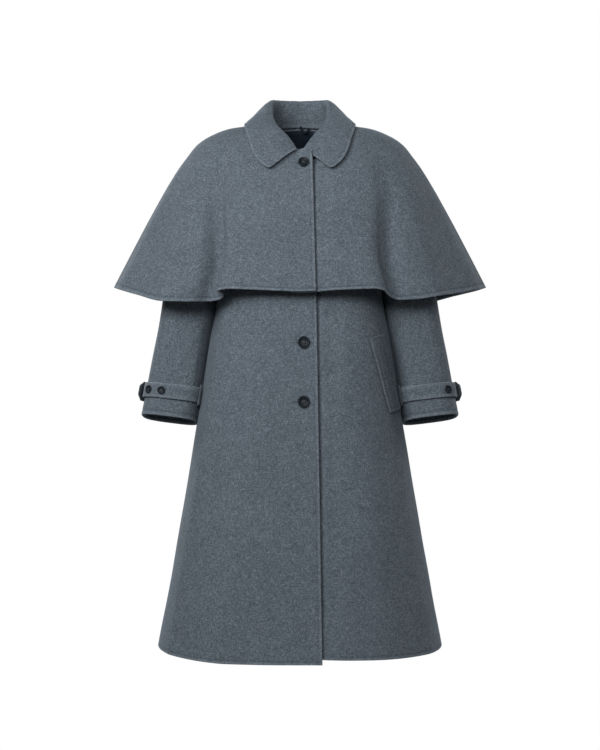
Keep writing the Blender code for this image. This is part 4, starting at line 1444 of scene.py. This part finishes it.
def turned_disc(name, radius, height):
    """A button blank: dished face, round rim, soft underside."""
    profile = (
        (0.00, 0.00),
        (0.55, 0.00),
        (0.80, 0.06),
        (0.93, 0.20),
        (0.99, 0.42),
        (1.00, 0.60),
        (0.985, 0.78),
        (0.95, 0.92),
        (0.90, 0.99),
        (0.84, 1.00),
        (0.78, 0.96),
        (0.72, 0.86),
        (0.66, 0.72),
        (0.60, 0.62),
        (0.52, 0.56),
        (0.30, 0.53),
        (0.00, 0.52),
    )
    segments = 72
    points = [(0.0, 0.0, 0.0)]
    for r, h in profile[1:-1]:
        for k in range(segments):
            angle = k * math.tau / segments
            points.append((r * radius * math.cos(angle), r * radius * math.sin(angle), h * height))
    points.append((0.0, 0.0, profile[-1][1] * height))
    faces = []
    for k in range(segments):
        faces.append((0, 1 + (k + 1) % segments, 1 + k))
    for ring in range(len(profile) - 3):
        start = 1 + ring * segments
        for k in range(segments):
            a, b = start + k, start + (k + 1) % segments
            faces.append((a, b, b + segments, a + segments))
    top = len(points) - 1
    start = 1 + (len(profile) - 3) * segments
    for k in range(segments):
        faces.append((start + k, start + (k + 1) % segments, top))
    return mesh_piece(name, points, faces, [horn])


def build_button(name, node, radius, height, centre, normal):
    """A four-hole button sewn on with crossed threads."""
    blank = turned_disc(name, radius, height)
    spacing = radius * HOLES_AT
    holes = bmesh.new()
    corners = ((1, 1), (-1, 1), (-1, -1), (1, -1))
    for x, y in corners:
        spot = Matrix.Translation((x * spacing, y * spacing, height / 2))
        bmesh.ops.create_cone(
            holes,
            cap_ends=True,
            segments=20,
            radius1=radius * HOLE_RADIUS,
            radius2=radius * HOLE_RADIUS,
            depth=height * 3,
            matrix=spot,
        )
    data = bpy.data.meshes.new("holes")
    holes.to_mesh(data)
    holes.free()
    cutter = bpy.data.objects.new("holes", data)
    bpy.context.scene.collection.objects.link(cutter)
    cut = blank.modifiers.new("holes", "BOOLEAN")
    cut.object = cutter
    cut.operation = "DIFFERENCE"
    bpy.context.view_layer.update()
    shaped = bpy.data.meshes.new_from_object(blank.evaluated_get(bpy.context.evaluated_depsgraph_get()))
    blank.modifiers.clear()
    blank.data = shaped
    shaped.set_sharp_from_angle(angle=math.radians(50))
    bpy.data.objects.remove(cutter)
    facing = Vector(normal).to_track_quat("Z", "Y").to_matrix().to_4x4()
    placing = Matrix.Translation(Vector(centre)) @ facing
    shaped.transform(placing)
    placed(blank, "horn", node)

    points, faces = [], []
    for k, (a, b) in enumerate(((0, 2), (1, 3))):
        for strand in (-1, 0, 1):
            start = np.array((*corners[a], 0.0)) * spacing
            end = np.array((*corners[b], 0.0)) * spacing
            t = np.linspace(0, 1, 13)
            line = start + (end - start) * t[:, None]
            side = np.array((-(end - start)[1], (end - start)[0], 0)) / np.linalg.norm(end - start)
            line = line + side * strand * radius * STRANDS_APART
            arch = np.sin(t * math.pi) ** 0.5
            line[:, 2] = height * (0.30 + (0.30 + 0.05 * k) * arch)
            base = len(points)
            for here in line:
                for j in range(THREAD_SIDES):
                    angle = j * math.tau / THREAD_SIDES
                    width = radius * STRAND_RADIUS
                    point = here + side * math.cos(angle) * width
                    point = point + np.array((0, 0, math.sin(angle) * width))
                    points.append(tuple(placing @ Vector(point)))
            faces += tube_faces(base, len(line), THREAD_SIDES)
    sewn = mesh_piece(f"{name}_thread", points, faces, [dark_thread])
    placed(sewn, "horn")


def build_buttonhole(name, centre, normal, length):
    """A worked slit that runs level: two raised lips of close stitches and a bar at the end."""
    normal = np.array(normal) / np.linalg.norm(normal)
    level = np.cross(np.array((0.0, 0.0, 1.0)), normal)
    level /= np.linalg.norm(level)
    up = np.cross(normal, level)
    t = np.linspace(0, math.tau, 97)
    reach = length / 2 - 0.0010
    a = np.clip(np.cos(t) * 1.35, -1, 1) * reach
    b = np.sin(t) * 0.0009
    lift = 0.0003 + 0.0002 * np.cos(t * 46)
    line = centre + a[:, None] * level + b[:, None] * up + lift[:, None] * normal
    # The lips take the darker wool copy: painted shade.
    piece = tube(name, line, 0.0008, 0.0006, np.tile(normal, (len(line), 1)), wool_painted_shade, 8)
    placed(piece, "wool")
    # A thin navy strip along the slit: painted shade in the gap between the lips.
    slit = centre + np.linspace(-reach, reach, 21)[:, None] * level + normal * 0.0001
    piece = tube(f"{name}_slit", slit, 0.0005, 0.0002, np.tile(normal, (21, 1)), navy, 6)
    placed(piece, "wool")


def build_buttons(front, cape):
    # Node, name, panel, height, axis that its diameter is read along, and length of its hole.
    sewn_on = (
        ("button_2", "coat_button_2", front, 0.0044, 2, 0.026),
        ("button_3", "coat_button_3", front, 0.0044, 2, 0.026),
        ("button_1", "neck_button", cape, 0.0042, 0, 0.023),
    )
    for node, name, panel, height, axis, slit in sewn_on:
        low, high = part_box(node)
        x, _, z = (np.array(low) + np.array(high)) / 2
        here, normal = nearest(panel, x, z)
        radius = (high[axis] - low[axis]) / 2
        build_button(name, node, radius, height, here + normal * 0.0008, normal)
        hole, out = nearest(panel, x - HOLE_SHIFT, z)
        build_buttonhole(f"buttonhole_{node[-1]}", hole, out, slit)

    out = LAYER_GAP + DOUBLE_CLOTH
    place = (STRAP_PLACES[0] + STRAP_PLACES[1]) / 2
    for side, degrees, node in STRAP_BUTTONS:
        here = sleeve_points(place, degrees, side, out)
        across = sleeve_points(place, degrees + 5, side, out) - here
        up = sleeve_points(place - 0.02, degrees, side, out) - here
        normal = np.cross(across, up) * side
        normal = normal / np.linalg.norm(normal)
        build_button(f"cuff_{node}", node, 0.0078, 0.0034, here + normal * 0.0004, normal)


def nearest(panel, x, z):
    """The panel's outer skin and normal at a place seen from the front."""
    outer = panel.skins()[0]
    away = (outer[:, :, 0] - x) ** 2 + (outer[:, :, 2] - z) ** 2
    away = np.where(outer[:, :, 1] < 0, away, 9)
    row, column = np.unravel_index(np.argmin(away), away.shape)
    spot = outer[row, column].copy()
    spot[0], spot[2] = x, z
    return spot, panel.normals[row, column]


# ---- Build ----

front_right = build_front(RIGHT)
build_front(LEFT)
back = build_back()
build_back_lining(back)
build_welt()
for side in (RIGHT, LEFT):
    build_sleeve_half(side, True)
    build_sleeve_half(side, False)
    build_cuff(side)
cape_right = build_cape_front(RIGHT)
build_cape_front(LEFT)
build_cape_back()
build_collar()
build_neck_trims()
build_buttons(front_right, cape_right)


# ---- Studio ----

CAMERA_PLACE = (0.0, -2.8, -0.49)
VIEW_HEIGHT = 1.5
FLOOR_Z = -1.45
FLOOR_HALF = 0.75
WORLD_STRENGTH = 0.13
# Name, place, target, size and power.
LIGHTS = (
    ("key", (-1.2, -1.6, 0.62), (0, 0, -0.10), (1.0, 1.0), 34),
    ("side", (2.2, -1.2, 0.5), (0, 0, -0.30), (0.9, 1.1), 4),
    ("front", (-0.25, -1.8, 0.30), (0, 0, -0.05), (1.2, 0.6), 20),
    ("rear_left", (-1.8, 2.0, 0.7), (0, 0, -0.35), (1.2, 1.6), 50),
    ("rear_right", (2.1, 1.2, 0.5), (0, 0, -0.35), (1.0, 1.6), 34),
)


def build_floor():
    """A pale floor under the coat; the pale backdrop round it is the world."""
    corners = ((-1, -1), (1, -1), (1, 1), (-1, 1))
    points = [(x * FLOOR_HALF, y * FLOOR_HALF, FLOOR_Z) for x, y in corners]
    floor = mesh_piece("studio_floor", points, [(0, 1, 2, 3)], [floor_material()])


def add_light(name, place, target, size, power):
    data = bpy.data.lights.new(name, "AREA")
    data.shape = "RECTANGLE"
    data.size, data.size_y = size
    data.energy = power
    light = bpy.data.objects.new(name, data)
    light.location = place
    way = Vector(target) - Vector(place)
    light.rotation_euler = way.to_track_quat("-Z", "Y").to_euler()
    bpy.context.scene.collection.objects.link(light)


def build_studio():
    build_floor()
    for light in LIGHTS:
        add_light(*light)
    world = bpy.data.worlds.new("studio")
    world.use_nodes = True
    tree = world.node_tree
    background = tree.nodes["Background"]
    background.inputs["Color"].default_value = (1, 1, 1, 1)
    background.inputs["Strength"].default_value = WORLD_STRENGTH
    seen = tree.nodes.new("ShaderNodeBackground")
    seen.inputs["Color"].default_value = (1, 1, 1, 1)
    seen.inputs["Strength"].default_value = 1.0
    path = tree.nodes.new("ShaderNodeLightPath")
    mix = tree.nodes.new("ShaderNodeMixShader")
    tree.links.new(path.outputs["Is Camera Ray"], mix.inputs["Fac"])
    tree.links.new(background.outputs["Background"], mix.inputs[1])
    tree.links.new(seen.outputs["Background"], mix.inputs[2])
    tree.links.new(mix.outputs["Shader"], tree.nodes["World Output"].inputs["Surface"])
    bpy.context.scene.world = world
    bpy.context.scene.view_settings.view_transform = "Standard"


def build_camera():
    data = bpy.data.cameras.new("camera")
    data.sensor_fit = "VERTICAL"
    data.angle = 2 * math.atan(VIEW_HEIGHT / 2 / -CAMERA_PLACE[1])
    camera = bpy.data.objects.new("camera", data)
    camera.location = CAMERA_PLACE
    camera.rotation_euler = (math.pi / 2, 0, 0)
    bpy.context.scene.collection.objects.link(camera)
    bpy.context.scene.camera = camera


build_studio()
build_camera()
